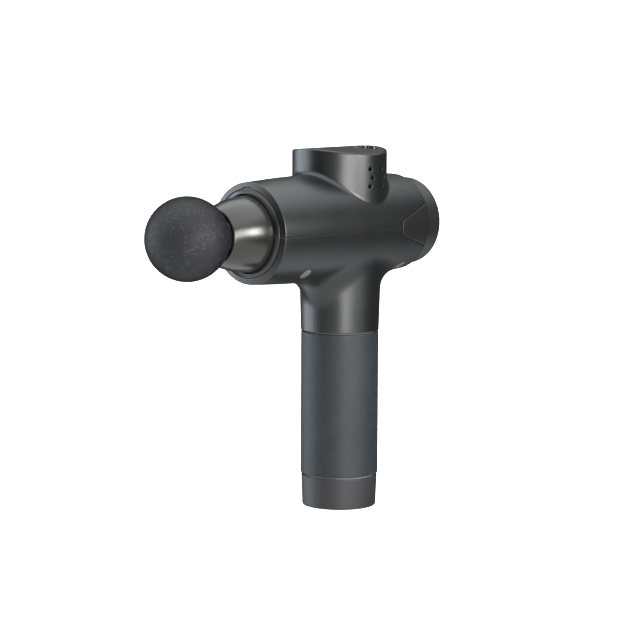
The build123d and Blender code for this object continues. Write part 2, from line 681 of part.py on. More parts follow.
with BuildPart() as rear_cap:
    floor_x = CAP_REAR_X + CAP_FLOOR
    shoulder_x = BARREL_REAR_X - SEAM_GAP
    with BuildSketch(BARREL_SIDE):
        with BuildLine():
            Polyline(
                (CAP_REAR_X, 0),
                (CAP_REAR_X, CAP_RADIUS),
                (shoulder_x, CAP_RADIUS),
                (shoulder_x, COLLAR_RADIUS),
                (COLLAR_FRONT_X, COLLAR_RADIUS),
                (COLLAR_FRONT_X, COLLAR_BORE_RADIUS),
                (floor_x, COLLAR_BORE_RADIUS),
                (floor_x, 0),
                close=True,
            )
        make_face()
    revolve(axis=BARREL_AXIS)
    fillet(rear_cap.edges().filter_by(GeomType.CIRCLE).group_by(Axis.X)[0], CAP_EDGE_RADIUS)
    add(tabs)
    with BuildSketch(across(floor_x)):
        with PolarLocations(DISPLAY_POST_CIRCLE, POST_COUNT, start_angle=90):
            Circle(POST_RADIUS)
    extrude(amount=DISPLAY_BOARD_X - floor_x)
    with BuildSketch(across(CAP_REAR_X)):
        Circle(LENS_RADIUS + 2 * SLIP)
    extrude(amount=LENS_THICKNESS + SLIP, mode=Mode.SUBTRACT)
    with BuildSketch(across(CAP_REAR_X)):
        Circle(LENS_RADIUS - LENS_LEDGE)
    extrude(amount=CAP_FLOOR, mode=Mode.SUBTRACT)

with BuildPart() as display_lens:
    with BuildSketch(across(CAP_REAR_X + SLIP)):
        Circle(LENS_RADIUS)
    extrude(amount=LENS_THICKNESS)
    chamfer(display_lens.edges().group_by(Axis.X)[0], LENS_CHAMFER)

with BuildPart() as display_board:
    with BuildSketch(across(DISPLAY_BOARD_X)):
        Circle(DISPLAY_BOARD_RADIUS)
    extrude(amount=BOARD_THICKNESS)
    with BuildSketch(across(DISPLAY_BOARD_X)):
        Rectangle(DISPLAY_SIZE[0], DISPLAY_SIZE[1])
    extrude(amount=-DISPLAY_SIZE[2])

# -------------------------------------------------- bezel, nose and its seal ----
with BuildPart() as key_form:
    add(bezel_key(0))
    add(casing_form, mode=Mode.INTERSECT)

with BuildPart() as front_bezel:
    bezel_flange_front_x = LIP_REAR_X - SEAM_GAP
    bezel_flange_rear_x = bezel_flange_front_x - BEZEL_FLANGE_THICKNESS
    add(
        spun(
            (
                (bezel_flange_rear_x, BEZEL_BORE_RADIUS),
                (bezel_flange_rear_x, BEZEL_FLANGE_RADIUS),
                (bezel_flange_front_x, BEZEL_FLANGE_RADIUS),
                (bezel_flange_front_x, BEZEL_RADIUS),
                (front_face_x(BEZEL_RADIUS), BEZEL_RADIUS),
                (front_face_x(BEZEL_BORE_RADIUS), BEZEL_BORE_RADIUS),
            )
        )
    )
    add(key_form)

with BuildPart() as nose_cone:
    with BuildSketch(BARREL_SIDE):
        with BuildLine():
            base = (NOSE_BASE_X, NOSE_BASE_RADIUS)
            middle_x = (NOSE_BASE_X + NOSE_TIP_X) / 2
            middle = (middle_x, nose_radius(middle_x))
            tip = (NOSE_TIP_X, nose_radius(NOSE_TIP_X))
            ThreePointArc(base, middle, tip)
            Polyline(
                tip,
                (NOSE_TIP_X, NOSE_MOUTH_RADIUS),
                (SEAL_FRONT_X, NOSE_MOUTH_RADIUS),
                (SEAL_FRONT_X, NOSE_BORE_RADIUS),
                (GUIDE_FRONT_X, NOSE_BORE_RADIUS),
                (NOSE_INNER_X, NOSE_INNER_RADIUS),
                (NOSE_REAR_X, NOSE_BASE_RADIUS - WALL),
                (NOSE_REAR_X, NOSE_REAR_FLANGE_RADIUS),
                (NOSE_REAR_X + NOSE_REAR_FLANGE_THICKNESS, NOSE_REAR_FLANGE_RADIUS),
                (NOSE_REAR_X + NOSE_REAR_FLANGE_THICKNESS, NOSE_FLANGE_RADIUS),
                (NOSE_SHOULDER_X, NOSE_FLANGE_RADIUS),
                (NOSE_BASE_X, NOSE_FLANGE_RADIUS - NOSE_SHOULDER_DROP),
                base,
            )
        make_face()
    revolve(axis=BARREL_AXIS)
    tip_edges = nose_cone.edges().filter_by(GeomType.CIRCLE).group_by(Axis.X)[-1]
    fillet(tip_edges, NOSE_TIP_FILLET)

with BuildPart() as nose_seal:
    add(
        spun(
            (
                (SEAL_REAR_X, SEAL_REAR_RADIUS),
                (SEAL_REAR_X, NOSE_BORE_RADIUS - SLIP),
                (SEAL_FRONT_X, NOSE_BORE_RADIUS - SLIP),
                (SEAL_FRONT_X, SEAL_FACE_RADIUS),
                (SEAL_LIP_X[1], SEAL_LIP_RADIUS),
                (SEAL_LIP_X[0], SEAL_LIP_RADIUS),
            )
        )
    )

# ---------------------------------------------- guide tube, bushes and dampers ----
flange_screws = [(side * FLANGE_SCREW_OFFSET, up * FLANGE_SCREW_OFFSET) for side in (1, -1) for up in (1, -1)]
flange_front_x = WALL_REAR_X + WALL_THICKNESS + FLANGE_THICKNESS

with BuildPart() as guide_tube:
    flange_rear_x = WALL_REAR_X + WALL_THICKNESS
    with BuildSketch(across(WALL_REAR_X)):
        Circle(GUIDE_RADIUS)
    extrude(amount=GUIDE_FRONT_X - WALL_REAR_X - SLIP)
    with BuildSketch(across(flange_rear_x)):
        Circle(GUIDE_FLANGE_RADIUS)
    extrude(amount=FLANGE_THICKNESS)
    with BuildSketch(across(WALL_REAR_X)):
        Circle(GUIDE_BORE_RADIUS)
        with Locations(*flange_screws):
            Circle(SCREW_HOLE_RADIUS)
    extrude(amount=GUIDE_FRONT_X - WALL_REAR_X, mode=Mode.SUBTRACT)

with BuildPart() as guide_bushes:
    for bush_x in BUSH_REARS_X:
        with BuildSketch(across(bush_x)):
            Circle(GUIDE_BORE_RADIUS)
            Circle(PISTON_RADIUS + SLIP, mode=Mode.SUBTRACT)
        extrude(amount=BUSH_LENGTH)

damper_ring = tube(across(RIB_REAR_X), DAMPER_RADIUS, GUIDE_RADIUS, RIB_WIDTH)

with BuildPart() as tail_damper:
    damper_y = (-TAIL_DAMPER_HALF_WIDTH, TAIL_DAMPER_HALF_WIDTH)
    add(block(TAIL_DAMPER_X, damper_y, (AXIS_Z + TAIL_DAMPER_BOTTOM, AXIS_Z + TAIL_DAMPER_TOP)))
    fillet(tail_damper.edges().filter_by(Axis.X), DAMPER_FILLET)
    with BuildSketch(across(TAIL_DAMPER_X[0])):
        with Locations((0, PLATE_BOTTOM_Z + PLATE_THICKNESS / 2 - AXIS_Z)):
            Rectangle(2 * TAIL_HALF_WIDTH, PLATE_THICKNESS)
    extrude(amount=TAIL_DAMPER_X[1] - TAIL_DAMPER_X[0], mode=Mode.SUBTRACT)

# ------------------------------------------------------------- drive frame ----
with BuildPart() as drive_frame:
    plate_z = (PLATE_BOTTOM_Z, PLATE_BOTTOM_Z + PLATE_THICKNESS)
    wall_x = (WALL_REAR_X, WALL_REAR_X + WALL_THICKNESS)
    wall_y = (-FRAME_WALL_HALF_WIDTH, FRAME_WALL_HALF_WIDTH)
    with BuildSketch(level(PLATE_BOTTOM_Z, TURRET_X)):
        Circle(PLATE_RADIUS)
    extrude(amount=PLATE_THICKNESS)
    add(block((TURRET_X, wall_x[1]), (-ARM_HALF_WIDTH, ARM_HALF_WIDTH), plate_z))
    add(block((TAIL_REAR_X, TURRET_X), (-TAIL_HALF_WIDTH, TAIL_HALF_WIDTH), plate_z))
    add(block(wall_x, wall_y, (AXIS_Z - FRAME_WALL_DROP, plate_z[1])))
    with BuildSketch(level(plate_z[1], TURRET_X)):
        Circle(BEARING_TUBE_RADIUS)
    extrude(amount=BEARING_TUBE_TOP_Z - plate_z[1])
    with BuildSketch(level(PLATE_BOTTOM_Z, TURRET_X)):
        Circle(BEARING_RADIUS)
        with PolarLocations(PLATE_HOLE_CIRCLE, PLATE_HOLE_COUNT, start_angle=180 / PLATE_HOLE_COUNT):
            Circle(PLATE_HOLE_RADIUS)
    extrude(amount=BEARING_TUBE_TOP_Z - PLATE_BOTTOM_Z, mode=Mode.SUBTRACT)
    with BuildSketch(across(WALL_REAR_X)):
        Circle(GUIDE_RADIUS)
        with Locations(*flange_screws):
            Circle(SCREW_RADIUS)
    extrude(amount=WALL_THICKNESS, mode=Mode.SUBTRACT)
    fillet(drive_frame.edges().filter_by(Axis.X).group_by(Axis.Z)[0], FRAME_CORNER_RADIUS)

with BuildPart() as frame_screws:
    with BuildSketch(across(WALL_REAR_X)):
        with Locations(*flange_screws):
            Circle(SCREW_RADIUS)
    extrude(amount=flange_front_x - WALL_REAR_X)
    with BuildSketch(across(flange_front_x)):
        with Locations(*flange_screws):
            Circle(SCREW_HEAD_RADIUS)
    extrude(amount=SCREW_HEAD_HEIGHT)
    with BuildSketch(across(flange_front_x + SCREW_HEAD_HEIGHT / 2)):
        with Locations(*flange_screws):
            RegularPolygon(HEX_RECESS_RADIUS, HEX_SIDES)
    extrude(amount=SCREW_HEAD_HEIGHT, mode=Mode.SUBTRACT)

# ------------------------------------------------------------------- motor ----
with BuildPart() as shaft_bearings:
    for bearing_z in (LOWER_BEARING_Z, BEARING_TUBE_TOP_Z - BEARING_WIDTH):
        with BuildSketch(level(bearing_z, TURRET_X)):
            Circle(BEARING_RADIUS)
            Circle(SHAFT_RADIUS + SLIP / 2, mode=Mode.SUBTRACT)
        extrude(amount=BEARING_WIDTH)

with BuildPart() as motor_stator:
    tip_inner = STATOR_RADIUS - TOOTH_TIP_THICKNESS
    with BuildSketch(level(STATOR_BOTTOM_Z, TURRET_X)):
        Circle(STATOR_RADIUS)
        Circle(tip_inner, mode=Mode.SUBTRACT)
        with PolarLocations(STATOR_RADIUS, STATOR_TEETH, start_angle=180 / STATOR_TEETH):
            Rectangle(SLOT_CUT_LENGTH, SLOT_OPENING, mode=Mode.SUBTRACT)
        Circle(STATOR_CORE_RADIUS)
        with PolarLocations((STATOR_CORE_RADIUS + tip_inner) / 2, STATOR_TEETH):
            Rectangle(tip_inner - STATOR_CORE_RADIUS + TOOTH_TIP_THICKNESS, TOOTH_WIDTH)
        Circle(BEARING_TUBE_RADIUS, mode=Mode.SUBTRACT)
    extrude(amount=STATOR_HEIGHT)

with BuildPart() as motor_windings:
    coil_circle = STATOR_RADIUS - TOOTH_TIP_THICKNESS - COIL_TIP_GAP - COIL_DEPTH / 2
    with Locations((TURRET_X, 0, STATOR_BOTTOM_Z + STATOR_HEIGHT / 2)):
        with PolarLocations(coil_circle, STATOR_TEETH):
            Box(COIL_DEPTH, COIL_WIDTH, STATOR_HEIGHT + 2 * COIL_OVERHANG)
    fillet(motor_windings.edges() - motor_windings.edges().filter_by(Axis.Z), COIL_CORNER_RADIUS)
    with Locations((TURRET_X, 0, STATOR_BOTTOM_Z + STATOR_HEIGHT / 2)):
        with PolarLocations(coil_circle, STATOR_TEETH):
            Box(2 * COIL_DEPTH, TOOTH_WIDTH + 2 * SLIP, STATOR_HEIGHT + 2 * SLIP, mode=Mode.SUBTRACT)

with BuildPart() as rotor_can:
    with BuildSketch(level(CAN_BOTTOM_Z, TURRET_X)):
        Circle(CAN_RADIUS)
        Circle(CAN_INNER_RADIUS, mode=Mode.SUBTRACT)
    extrude(amount=CAN_TOP_Z - CAN_BOTTOM_Z)
    with BuildSketch(level(CAN_TOP_Z - CAN_PLATE, TURRET_X)):
        Circle(CAN_RADIUS)
        with PolarLocations(CAN_HOLE_CIRCLE, CAN_HOLE_COUNT):
            Circle(CAN_HOLE_RADIUS, mode=Mode.SUBTRACT)
    extrude(amount=CAN_PLATE)
    top_circles = rotor_can.edges().filter_by(GeomType.CIRCLE).group_by(Axis.Z)[-1]
    fillet(top_circles.sort_by(SortBy.LENGTH)[-1], CAN_EDGE_RADIUS)
    with BuildSketch(level(CAN_TOP_Z, TURRET_X)):
        Circle(HUB_RADIUS)
    extrude(amount=HUB_TOP_Z - CAN_TOP_Z)
    with BuildSketch(level(CAN_BOTTOM_Z, TURRET_X)):
        Circle(SHAFT_RADIUS)
    extrude(amount=HUB_TOP_Z - CAN_BOTTOM_Z, mode=Mode.SUBTRACT)

with BuildPart() as rotor_magnets:
    with BuildSketch(level(STATOR_BOTTOM_Z, TURRET_X)):
        Circle(CAN_INNER_RADIUS)
        Circle(MAGNET_INNER_RADIUS, mode=Mode.SUBTRACT)
        with PolarLocations(CAN_INNER_RADIUS, MAGNET_COUNT):
            Rectangle(2 * (CAN_RADIUS - MAGNET_INNER_RADIUS), MAGNET_GAP, mode=Mode.SUBTRACT)
    extrude(amount=STATOR_HEIGHT)

with BuildPart() as motor_shaft:
    with BuildSketch(level(CRANK_BOTTOM_Z, TURRET_X)):
        Circle(SHAFT_RADIUS)
    extrude(amount=HUB_TOP_Z - CRANK_BOTTOM_Z)

# ------------------------------------------------------------- slider crank ----
with BuildPart() as crank_disc:
    with BuildSketch(level(CRANK_BOTTOM_Z, TURRET_X)):
        Circle(COUNTERWEIGHT_RADIUS)
        with Locations((COUNTERWEIGHT_RADIUS + SHAFT_RADIUS, 0)):
            Rectangle(2 * COUNTERWEIGHT_RADIUS, 2 * COUNTERWEIGHT_RADIUS, mode=Mode.INTERSECT)
        Circle(CRANK_HUB_RADIUS)
        Circle(SHAFT_RADIUS, mode=Mode.SUBTRACT)
    extrude(amount=CRANK_TOP_Z - CRANK_BOTTOM_Z)
    with BuildSketch(level(CRANK_BOTTOM_Z, PIN_X)):
        Circle(CRANK_PIN_RADIUS + SLIP)
    extrude(amount=CRANK_PIN_POCKET, mode=Mode.SUBTRACT)

with BuildPart() as crank_pin:
    with BuildSketch(level(AXIS_Z - ROD_THICKNESS / 2, PIN_X)):
        Circle(CRANK_PIN_RADIUS)
    extrude(amount=CRANK_BOTTOM_Z - CRANK_PIN_END_GAP - AXIS_Z + ROD_THICKNESS / 2)

big_end_bearing = tube(
    level(AXIS_Z - BIG_BEARING_WIDTH / 2, PIN_X), BIG_BEARING_RADIUS, CRANK_PIN_RADIUS, BIG_BEARING_WIDTH
)

with BuildPart() as connecting_rod:
    with BuildSketch(level(AXIS_Z - ROD_THICKNESS / 2)):
        with Locations((PIN_X, 0)):
            Circle(BIG_END_RADIUS)
        with Locations((WRIST_X, 0)):
            Circle(SMALL_END_RADIUS)
        with Locations(((PIN_X + WRIST_X) / 2, 0)):
            Rectangle(ROD_LENGTH, ROD_BEAM_WIDTH)
    extrude(amount=ROD_THICKNESS)
    with BuildSketch(level(AXIS_Z - ROD_THICKNESS / 2)):
        with Locations((PIN_X, 0)):
            Circle(BIG_BEARING_RADIUS)
        with Locations((WRIST_X, 0)):
            Circle(SMALL_BUSH_RADIUS)
    extrude(amount=ROD_THICKNESS, mode=Mode.SUBTRACT)
    for pocket_z in (AXIS_Z - ROD_THICKNESS / 2, AXIS_Z + ROD_THICKNESS / 2 - ROD_POCKET[2]):
        with BuildSketch(level(pocket_z, (PIN_X + BIG_END_RADIUS + WRIST_X - SMALL_END_RADIUS) / 2)):
            SlotOverall(ROD_POCKET[0], ROD_POCKET[1])
        extrude(amount=ROD_POCKET[2], mode=Mode.SUBTRACT)

small_end_bush = tube(
    level(AXIS_Z - ROD_THICKNESS / 2, WRIST_X), SMALL_BUSH_RADIUS, WRIST_PIN_RADIUS + SLIP, ROD_THICKNESS
)

with BuildPart() as wrist_pin:
    with BuildSketch(level(AXIS_Z - WRIST_PIN_LENGTH / 2, WRIST_X)):
        Circle(WRIST_PIN_RADIUS)
    extrude(amount=WRIST_PIN_LENGTH)

with BuildPart() as piston:
    with BuildSketch(across(PISTON_REAR_X)):
        Circle(PISTON_RADIUS)
    extrude(amount=PISTON_FRONT_X - PISTON_REAR_X)
    chamfer(piston.edges().filter_by(GeomType.CIRCLE), PISTON_CHAMFER)
    with BuildSketch(across(PISTON_FRONT_X)):
        Circle(SOCKET_RADIUS)
    extrude(amount=-SOCKET_DEPTH, mode=Mode.SUBTRACT)
    fork_x = (PISTON_REAR_X - PISTON_CHAMFER, FORK_FRONT_X)
    fork_y = (-PISTON_RADIUS, PISTON_RADIUS)
    add(block(fork_x, fork_y, (AXIS_Z - FORK_GAP / 2, AXIS_Z + FORK_GAP / 2)), mode=Mode.SUBTRACT)
    with BuildSketch(level(AXIS_Z - PISTON_RADIUS, WRIST_X)):
        Circle(WRIST_PIN_RADIUS)
    extrude(amount=2 * PISTON_RADIUS, mode=Mode.SUBTRACT)

# ------------------------------------------------------------ massage head ----
with BuildPart() as head_stem:
    with BuildSketch(across(STEM_REAR_X)):
        Circle(STEM_RADIUS)
    extrude(amount=STEM_FRONT_X - STEM_REAR_X)
    chamfer(head_stem.edges().filter_by(GeomType.CIRCLE).group_by(Axis.X)[0], STEM_CHAMFER)
    groove_floor = RING_CENTRE_RADIUS - RING_SECTION_RADIUS - SLIP
    for ring_x in RING_STATIONS_X:
        with BuildSketch(across(ring_x - RING_SECTION_RADIUS - SLIP)):
            Circle(SOCKET_RADIUS)
            Circle(groove_floor, mode=Mode.SUBTRACT)
        extrude(amount=2 * (RING_SECTION_RADIUS + SLIP), mode=Mode.SUBTRACT)

with BuildPart() as stem_rings:
    for ring_x in RING_STATIONS_X:
        with BuildSketch(BARREL_SIDE):
            with Locations((ring_x, RING_CENTRE_RADIUS)):
                Circle(RING_SECTION_RADIUS)
        revolve(axis=BARREL_AXIS)

with BuildPart() as head_ball:
    with Locations((BALL_X, 0, AXIS_Z)):
        Sphere(BALL_RADIUS)
    with BuildSketch(across(BALL_X - BALL_RADIUS)):
        Circle(SOCKET_RADIUS)
    extrude(amount=STEM_FRONT_X + SLIP - BALL_X + BALL_RADIUS, mode=Mode.SUBTRACT)

# ------------------------------------------------------ keys on the turret ----
with BuildPart() as key_board:
    with BuildSketch(level(KEY_BOARD_Z, TURRET_X)):
        Circle(KEY_BOARD_RADIUS)
    extrude(amount=BOARD_THICKNESS)


power_key = key(POWER_KEY)
speed_key = key(SPEED_KEY)

with BuildPart() as status_led:
    led_bottom_z = KEY_BOARD_Z + BOARD_THICKNESS
    with BuildSketch(Plane(origin=(*LED_SPOT, led_bottom_z))):
        Circle(LED_RADIUS)
    extrude(amount=crown_z(LED_SPOT[1]) - led_bottom_z)

# -------------------------------------------------------- controller board ----
controller_top_z = CONTROLLER_Z + BOARD_THICKNESS
with BuildPart() as controller_board:
    board_y = (-CONTROLLER_HALF_WIDTH, CONTROLLER_HALF_WIDTH)
    add(block(CONTROLLER_X, board_y, (CONTROLLER_Z, controller_top_z)))
    with BuildSketch(level(controller_top_z)):
        with GridLocations(*TRANSISTOR_PITCH, *CHIP_GRID):
            Rectangle(TRANSISTOR_SIZE[0], TRANSISTOR_SIZE[1])
    extrude(amount=TRANSISTOR_SIZE[2])
    with BuildSketch(level(controller_top_z, CAPACITOR_X)):
        with GridLocations(0, CAPACITOR_PITCH, 1, 2):
            Circle(CAPACITOR_RADIUS)
    extrude(amount=CAPACITOR_HEIGHT)
    with BuildSketch(level(controller_top_z, PROCESSOR_X)):
        Rectangle(PROCESSOR_SIZE[0], PROCESSOR_SIZE[1])
    extrude(amount=PROCESSOR_SIZE[2])


ribbon_top_z = controller_top_z + RIBBON_THICKNESS
display_side_x = DISPLAY_BOARD_X + BOARD_THICKNESS + RIBBON_THICKNESS
display_ribbon = ribbon(
    (
        (display_side_x, DISPLAY_RIBBON_Z[0]),
        (display_side_x, DISPLAY_RIBBON_Z[1]),
        (DISPLAY_RIBBON_X[0], DISPLAY_RIBBON_Z[1]),
        (DISPLAY_RIBBON_X[1], ribbon_top_z),
        (DISPLAY_RIBBON_X[2], ribbon_top_z),
    ),
    y_middle=DISPLAY_RIBBON_Y,
    width=DISPLAY_RIBBON_WIDTH,
)
key_side_z = KEY_BOARD_Z + BOARD_THICKNESS + RIBBON_THICKNESS
key_ribbon = ribbon(
    (
        (KEY_RIBBON_X + KEY_RIBBON_FEET[0], key_side_z),
        (KEY_RIBBON_X, key_side_z),
        (KEY_RIBBON_X, ribbon_top_z),
        (KEY_RIBBON_X + KEY_RIBBON_FEET[1], ribbon_top_z),
    ),
    y_middle=KEY_RIBBON_Y,
    width=KEY_RIBBON_WIDTH,
)

lead_start_z = BATTERY_BOARD_Z + BOARD_THICKNESS
with BuildPart() as battery_leads:
    for lead_y in LEAD_Y:
        lead_path = (
            (LEAD_X, lead_y, lead_start_z),
            (LEAD_X, lead_y, LEAD_TURNS_Z[0]),
            (LEAD_TOP_X, lead_y, LEAD_TURNS_Z[1]),
            (LEAD_TOP_X, lead_y, CONTROLLER_Z),
        )
        add(wire(lead_path, LEAD_RADIUS, LEAD_BEND))

motor_lead_z = CAN_BOTTOM_Z - MOTOR_LEAD_DROP
with BuildPart() as motor_leads:
    for lead_y in MOTOR_LEAD_Y:
        lead_path = (
            (MOTOR_LEAD_ENDS_X[0], lead_y, controller_top_z),
            (MOTOR_LEAD_ENDS_X[0], lead_y, motor_lead_z),
            (MOTOR_LEAD_ENDS_X[1], lead_y, motor_lead_z),
        )
        add(wire(lead_path, MOTOR_LEAD_RADIUS, MOTOR_LEAD_BEND))

# ----------------------------------------------------- screws of the casing ----
with BuildPart() as case_screws:
    with BuildSketch(level(SCREW_SEAT_Z)):
        with Locations(*CASE_SCREW_SPOTS):
            Circle(SCREW_RADIUS)
    extrude(amount=PARTING_Z + SCREW_REACH - SCREW_SEAT_Z)
    with BuildSketch(level(SCREW_SEAT_Z)):
        with Locations(*CASE_SCREW_SPOTS):
            Circle(SCREW_HEAD_RADIUS)
    extrude(amount=-SCREW_HEAD_HEIGHT)

# Each plug's face follows the casing around it.
with BuildPart() as screw_plugs:
    with BuildSketch(level(SCREW_SEAT_Z - SCREW_HEAD_HEIGHT - SEAM_GAP)):
        with Locations(*CASE_SCREW_SPOTS):
            Circle(PLUG_WELL_RADIUS - SLIP)
    extrude(amount=-BARREL_CREST_RADIUS)
    with Locations((0, 0, PLUG_RECESS)):
        add(casing_form, mode=Mode.INTERSECT)

# ----------------------------------------------------------- grip and base ----
base_screw_spots = ((0, BASE_SCREW_Y), (0, -BASE_SCREW_Y))

with BuildPart() as grip_tube:
    add(tube(level(TUBE_BOTTOM_Z), TUBE_RADIUS, TUBE_BORE_RADIUS, TUBE_TOP_Z - TUBE_BOTTOM_Z))
    with BuildSketch(level(TUBE_BOTTOM_Z)):
        with Locations(*base_screw_spots):
            Circle(TUBE_BOSS_RADIUS)
    extrude(amount=TUBE_BOSS_TOP_Z - TUBE_BOTTOM_Z)
    with BuildSketch(level(TUBE_BOTTOM_Z)):
        with Locations(*base_screw_spots):
            Circle(SCREW_RADIUS)
    extrude(amount=BATTERY_BOARD_Z - TUBE_BOTTOM_Z, mode=Mode.SUBTRACT)

with BuildPart() as grip_sleeve:
    add(tube(level(GRIP_BOTTOM_Z), GRIP_RADIUS, TUBE_RADIUS + SLIP, GRIP_TOP_Z - GRIP_BOTTOM_Z))
    fillet(grip_sleeve.edges().filter_by(GeomType.CIRCLE).sort_by(SortBy.LENGTH)[-2:], GRIP_EDGE_RADIUS)

with BuildPart() as base_cap:
    with BuildSketch(Plane.XZ):
        with BuildLine():
            Polyline(
                (0, 0),
                (BASE_BOTTOM_RADIUS, 0),
                (BASE_TOP_RADIUS, BASE_TOP_Z),
                (TUBE_RADIUS + SLIP, BASE_TOP_Z),
                (TUBE_RADIUS + SLIP, TUBE_BOTTOM_Z),
                (TUBE_BORE_RADIUS, TUBE_BOTTOM_Z),
                (TUBE_BORE_RADIUS, BASE_FLOOR),
                (0, BASE_FLOOR),
                close=True,
            )
        make_face()
    revolve(axis=Axis.Z)
    fillet(base_cap.edges().filter_by(GeomType.CIRCLE).group_by(Axis.Z)[0], BASE_EDGE_RADIUS)
    top_circles = base_cap.edges().filter_by(GeomType.CIRCLE).group_by(Axis.Z)[-1]
    fillet(top_circles.sort_by(SortBy.LENGTH)[-1], BASE_TOP_EDGE_RADIUS)
    with BuildSketch(level(BASE_FLOOR)):
        with Locations(*base_screw_spots):
            Circle(BASE_PILLAR_RADIUS)
    extrude(amount=TUBE_BOTTOM_Z - BASE_FLOOR - SLIP)
    with BuildSketch(level(0)):
        with Locations(*base_screw_spots):
            Circle(SCREW_HEAD_RADIUS + HEAD_CLEARANCE)
        with Locations((SWITCH_X, 0)):
            Rectangle(SWITCH_FLANGE[0] + 2 * SLIP, SWITCH_FLANGE[1] + 2 * SLIP)
    extrude(amount=SWITCH_FLANGE_TOP_Z, mode=Mode.SUBTRACT)
    with BuildSketch(level(0)):
        with Locations(*base_screw_spots):
            Circle(SCREW_HOLE_RADIUS)
        with Locations((SWITCH_X, 0)):
            Rectangle(SWITCH_BODY[0] + 2 * SLIP, SWITCH_BODY[1] + 2 * SLIP)
        with Locations((JACK_X, 0)):
            Circle(JACK_RADIUS + SLIP)
    extrude(amount=TUBE_BOTTOM_Z, mode=Mode.SUBTRACT)

with BuildPart() as base_screws:
    with BuildSketch(level(SWITCH_FLANGE_TOP_Z)):
        with Locations(*base_screw_spots):
            Circle(SCREW_RADIUS)
    extrude(amount=BASE_SCREW_TOP_Z - SWITCH_FLANGE_TOP_Z)
    with BuildSketch(level(FLUSH)):
        with Locations(*base_screw_spots):
            Circle(SCREW_HEAD_RADIUS)
    extrude(amount=SWITCH_FLANGE_TOP_Z - FLUSH)
    with BuildSketch(level(FLUSH)):
        with Locations(*base_screw_spots):
            Rectangle(CROSS_RECESS[0], CROSS_RECESS[1])
            Rectangle(CROSS_RECESS[1], CROSS_RECESS[0])
    extrude(amount=CROSS_RECESS[2], mode=Mode.SUBTRACT)

with BuildPart() as charge_jack:
    with BuildSketch(level(FLUSH, JACK_X)):
        Circle(JACK_RADIUS)
    extrude(amount=BASE_FLOOR - FLUSH)
    with BuildSketch(level(BASE_FLOOR, JACK_X)):
        Rectangle(JACK_BODY, JACK_BODY)
    extrude(amount=JACK_TOP_Z - BASE_FLOOR)
    with BuildSketch(level(FLUSH, JACK_X)):
        Circle(JACK_SOCKET_RADIUS)
    extrude(amount=JACK_SOCKET_TOP_Z - FLUSH, mode=Mode.SUBTRACT)

with BuildPart() as charge_pin:
    with BuildSketch(level(BASE_FLOOR, JACK_X)):
        Circle(JACK_PIN_RADIUS)
    extrude(amount=JACK_SOCKET_TOP_Z - BASE_FLOOR)
    fillet(charge_pin.edges().group_by(Axis.Z)[0], JACK_PIN_ROUND)

with BuildPart() as switch_body:
    with BuildSketch(level(FLUSH, SWITCH_X)):
        Rectangle(*SWITCH_FLANGE)
    extrude(amount=SWITCH_FLANGE_TOP_Z - FLUSH)
    with BuildSketch(level(SWITCH_FLANGE_TOP_Z, SWITCH_X)):
        Rectangle(*SWITCH_BODY)
    extrude(amount=SWITCH_TOP_Z - SWITCH_FLANGE_TOP_Z)
    with BuildSketch(level(FLUSH, SWITCH_X)):
        Rectangle(*SWITCH_CAVITY)
    extrude(amount=SWITCH_CAVITY_TOP_Z - FLUSH, mode=Mode.SUBTRACT)
    with BuildSketch(Plane(origin=(SWITCH_X, 0, ROCKER_PIVOT_Z), z_dir=(0, 1, 0))):
        Circle(TRUNNION_RADIUS + SLIP)
    extrude(amount=SWITCH_CAVITY[1] / 2 + TRUNNION_SEAT, both=True, mode=Mode.SUBTRACT)
    with BuildSketch(level(SWITCH_TOP_Z, SWITCH_X)):
        with GridLocations(SWITCH_PIN_PITCH, 0, 2, 1):
            Rectangle(SWITCH_PIN_SIZE[0], SWITCH_PIN_SIZE[1])
    extrude(amount=SWITCH_PIN_SIZE[2])

tilt = radians(ROCKER_TILT)
with BuildPart() as power_rocker:
    pivot = (SWITCH_X, 0, ROCKER_PIVOT_Z)
    rocker_plane = Plane(origin=pivot, x_dir=(cos(tilt), 0, sin(tilt)), z_dir=(0, -1, 0))
    half_length = ROCKER_SIZE[0] / 2
    with BuildSketch(rocker_plane):
        with BuildLine():
            ThreePointArc(
                (-half_length, -ROCKER_FACE_DROP),
                (0, ROCKER_FACE_SAG - ROCKER_FACE_DROP),
                (half_length, -ROCKER_FACE_DROP),
            )
            Polyline(
                (half_length, -ROCKER_FACE_DROP),
                (half_length - ROCKER_BACK_INSET, ROCKER_BACK_HEIGHT),
                (ROCKER_BACK_INSET - half_length, ROCKER_BACK_HEIGHT),
                (-half_length, -ROCKER_FACE_DROP),
            )
        make_face()
    extrude(amount=ROCKER_SIZE[1] / 2, both=True)
    with BuildSketch(rocker_plane):
        Circle(TRUNNION_RADIUS)
    extrude(amount=SWITCH_CAVITY[1] / 2 + TRUNNION_REACH, both=True)

# ----------------------------------------------------------------- battery ----
with BuildPart() as battery_cells:
    for cell_z in CELL_BOTTOMS_Z:
        with BuildSketch(level(cell_z)):
            with PolarLocations(CELL_CIRCLE_RADIUS, CELL_COUNT):
                Circle(CELL_RADIUS)
        extrude(amount=CELL_LENGTH)

with BuildPart() as cell_holders:
    for holder_z in HOLDER_BOTTOMS_Z:
        with BuildSketch(level(holder_z)):
            Circle(HOLDER_RADIUS)
            with PolarLocations(CELL_CIRCLE_RADIUS, CELL_COUNT):
                Circle(CELL_RADIUS + SLIP, mode=Mode.SUBTRACT)
            with PolarLocations(HOLDER_RADIUS, CELL_COUNT, start_angle=180 / CELL_COUNT):
                Circle(HOLDER_RELIEF_RADIUS, mode=Mode.SUBTRACT)
        extrude(amount=HOLDER_THICKNESS)

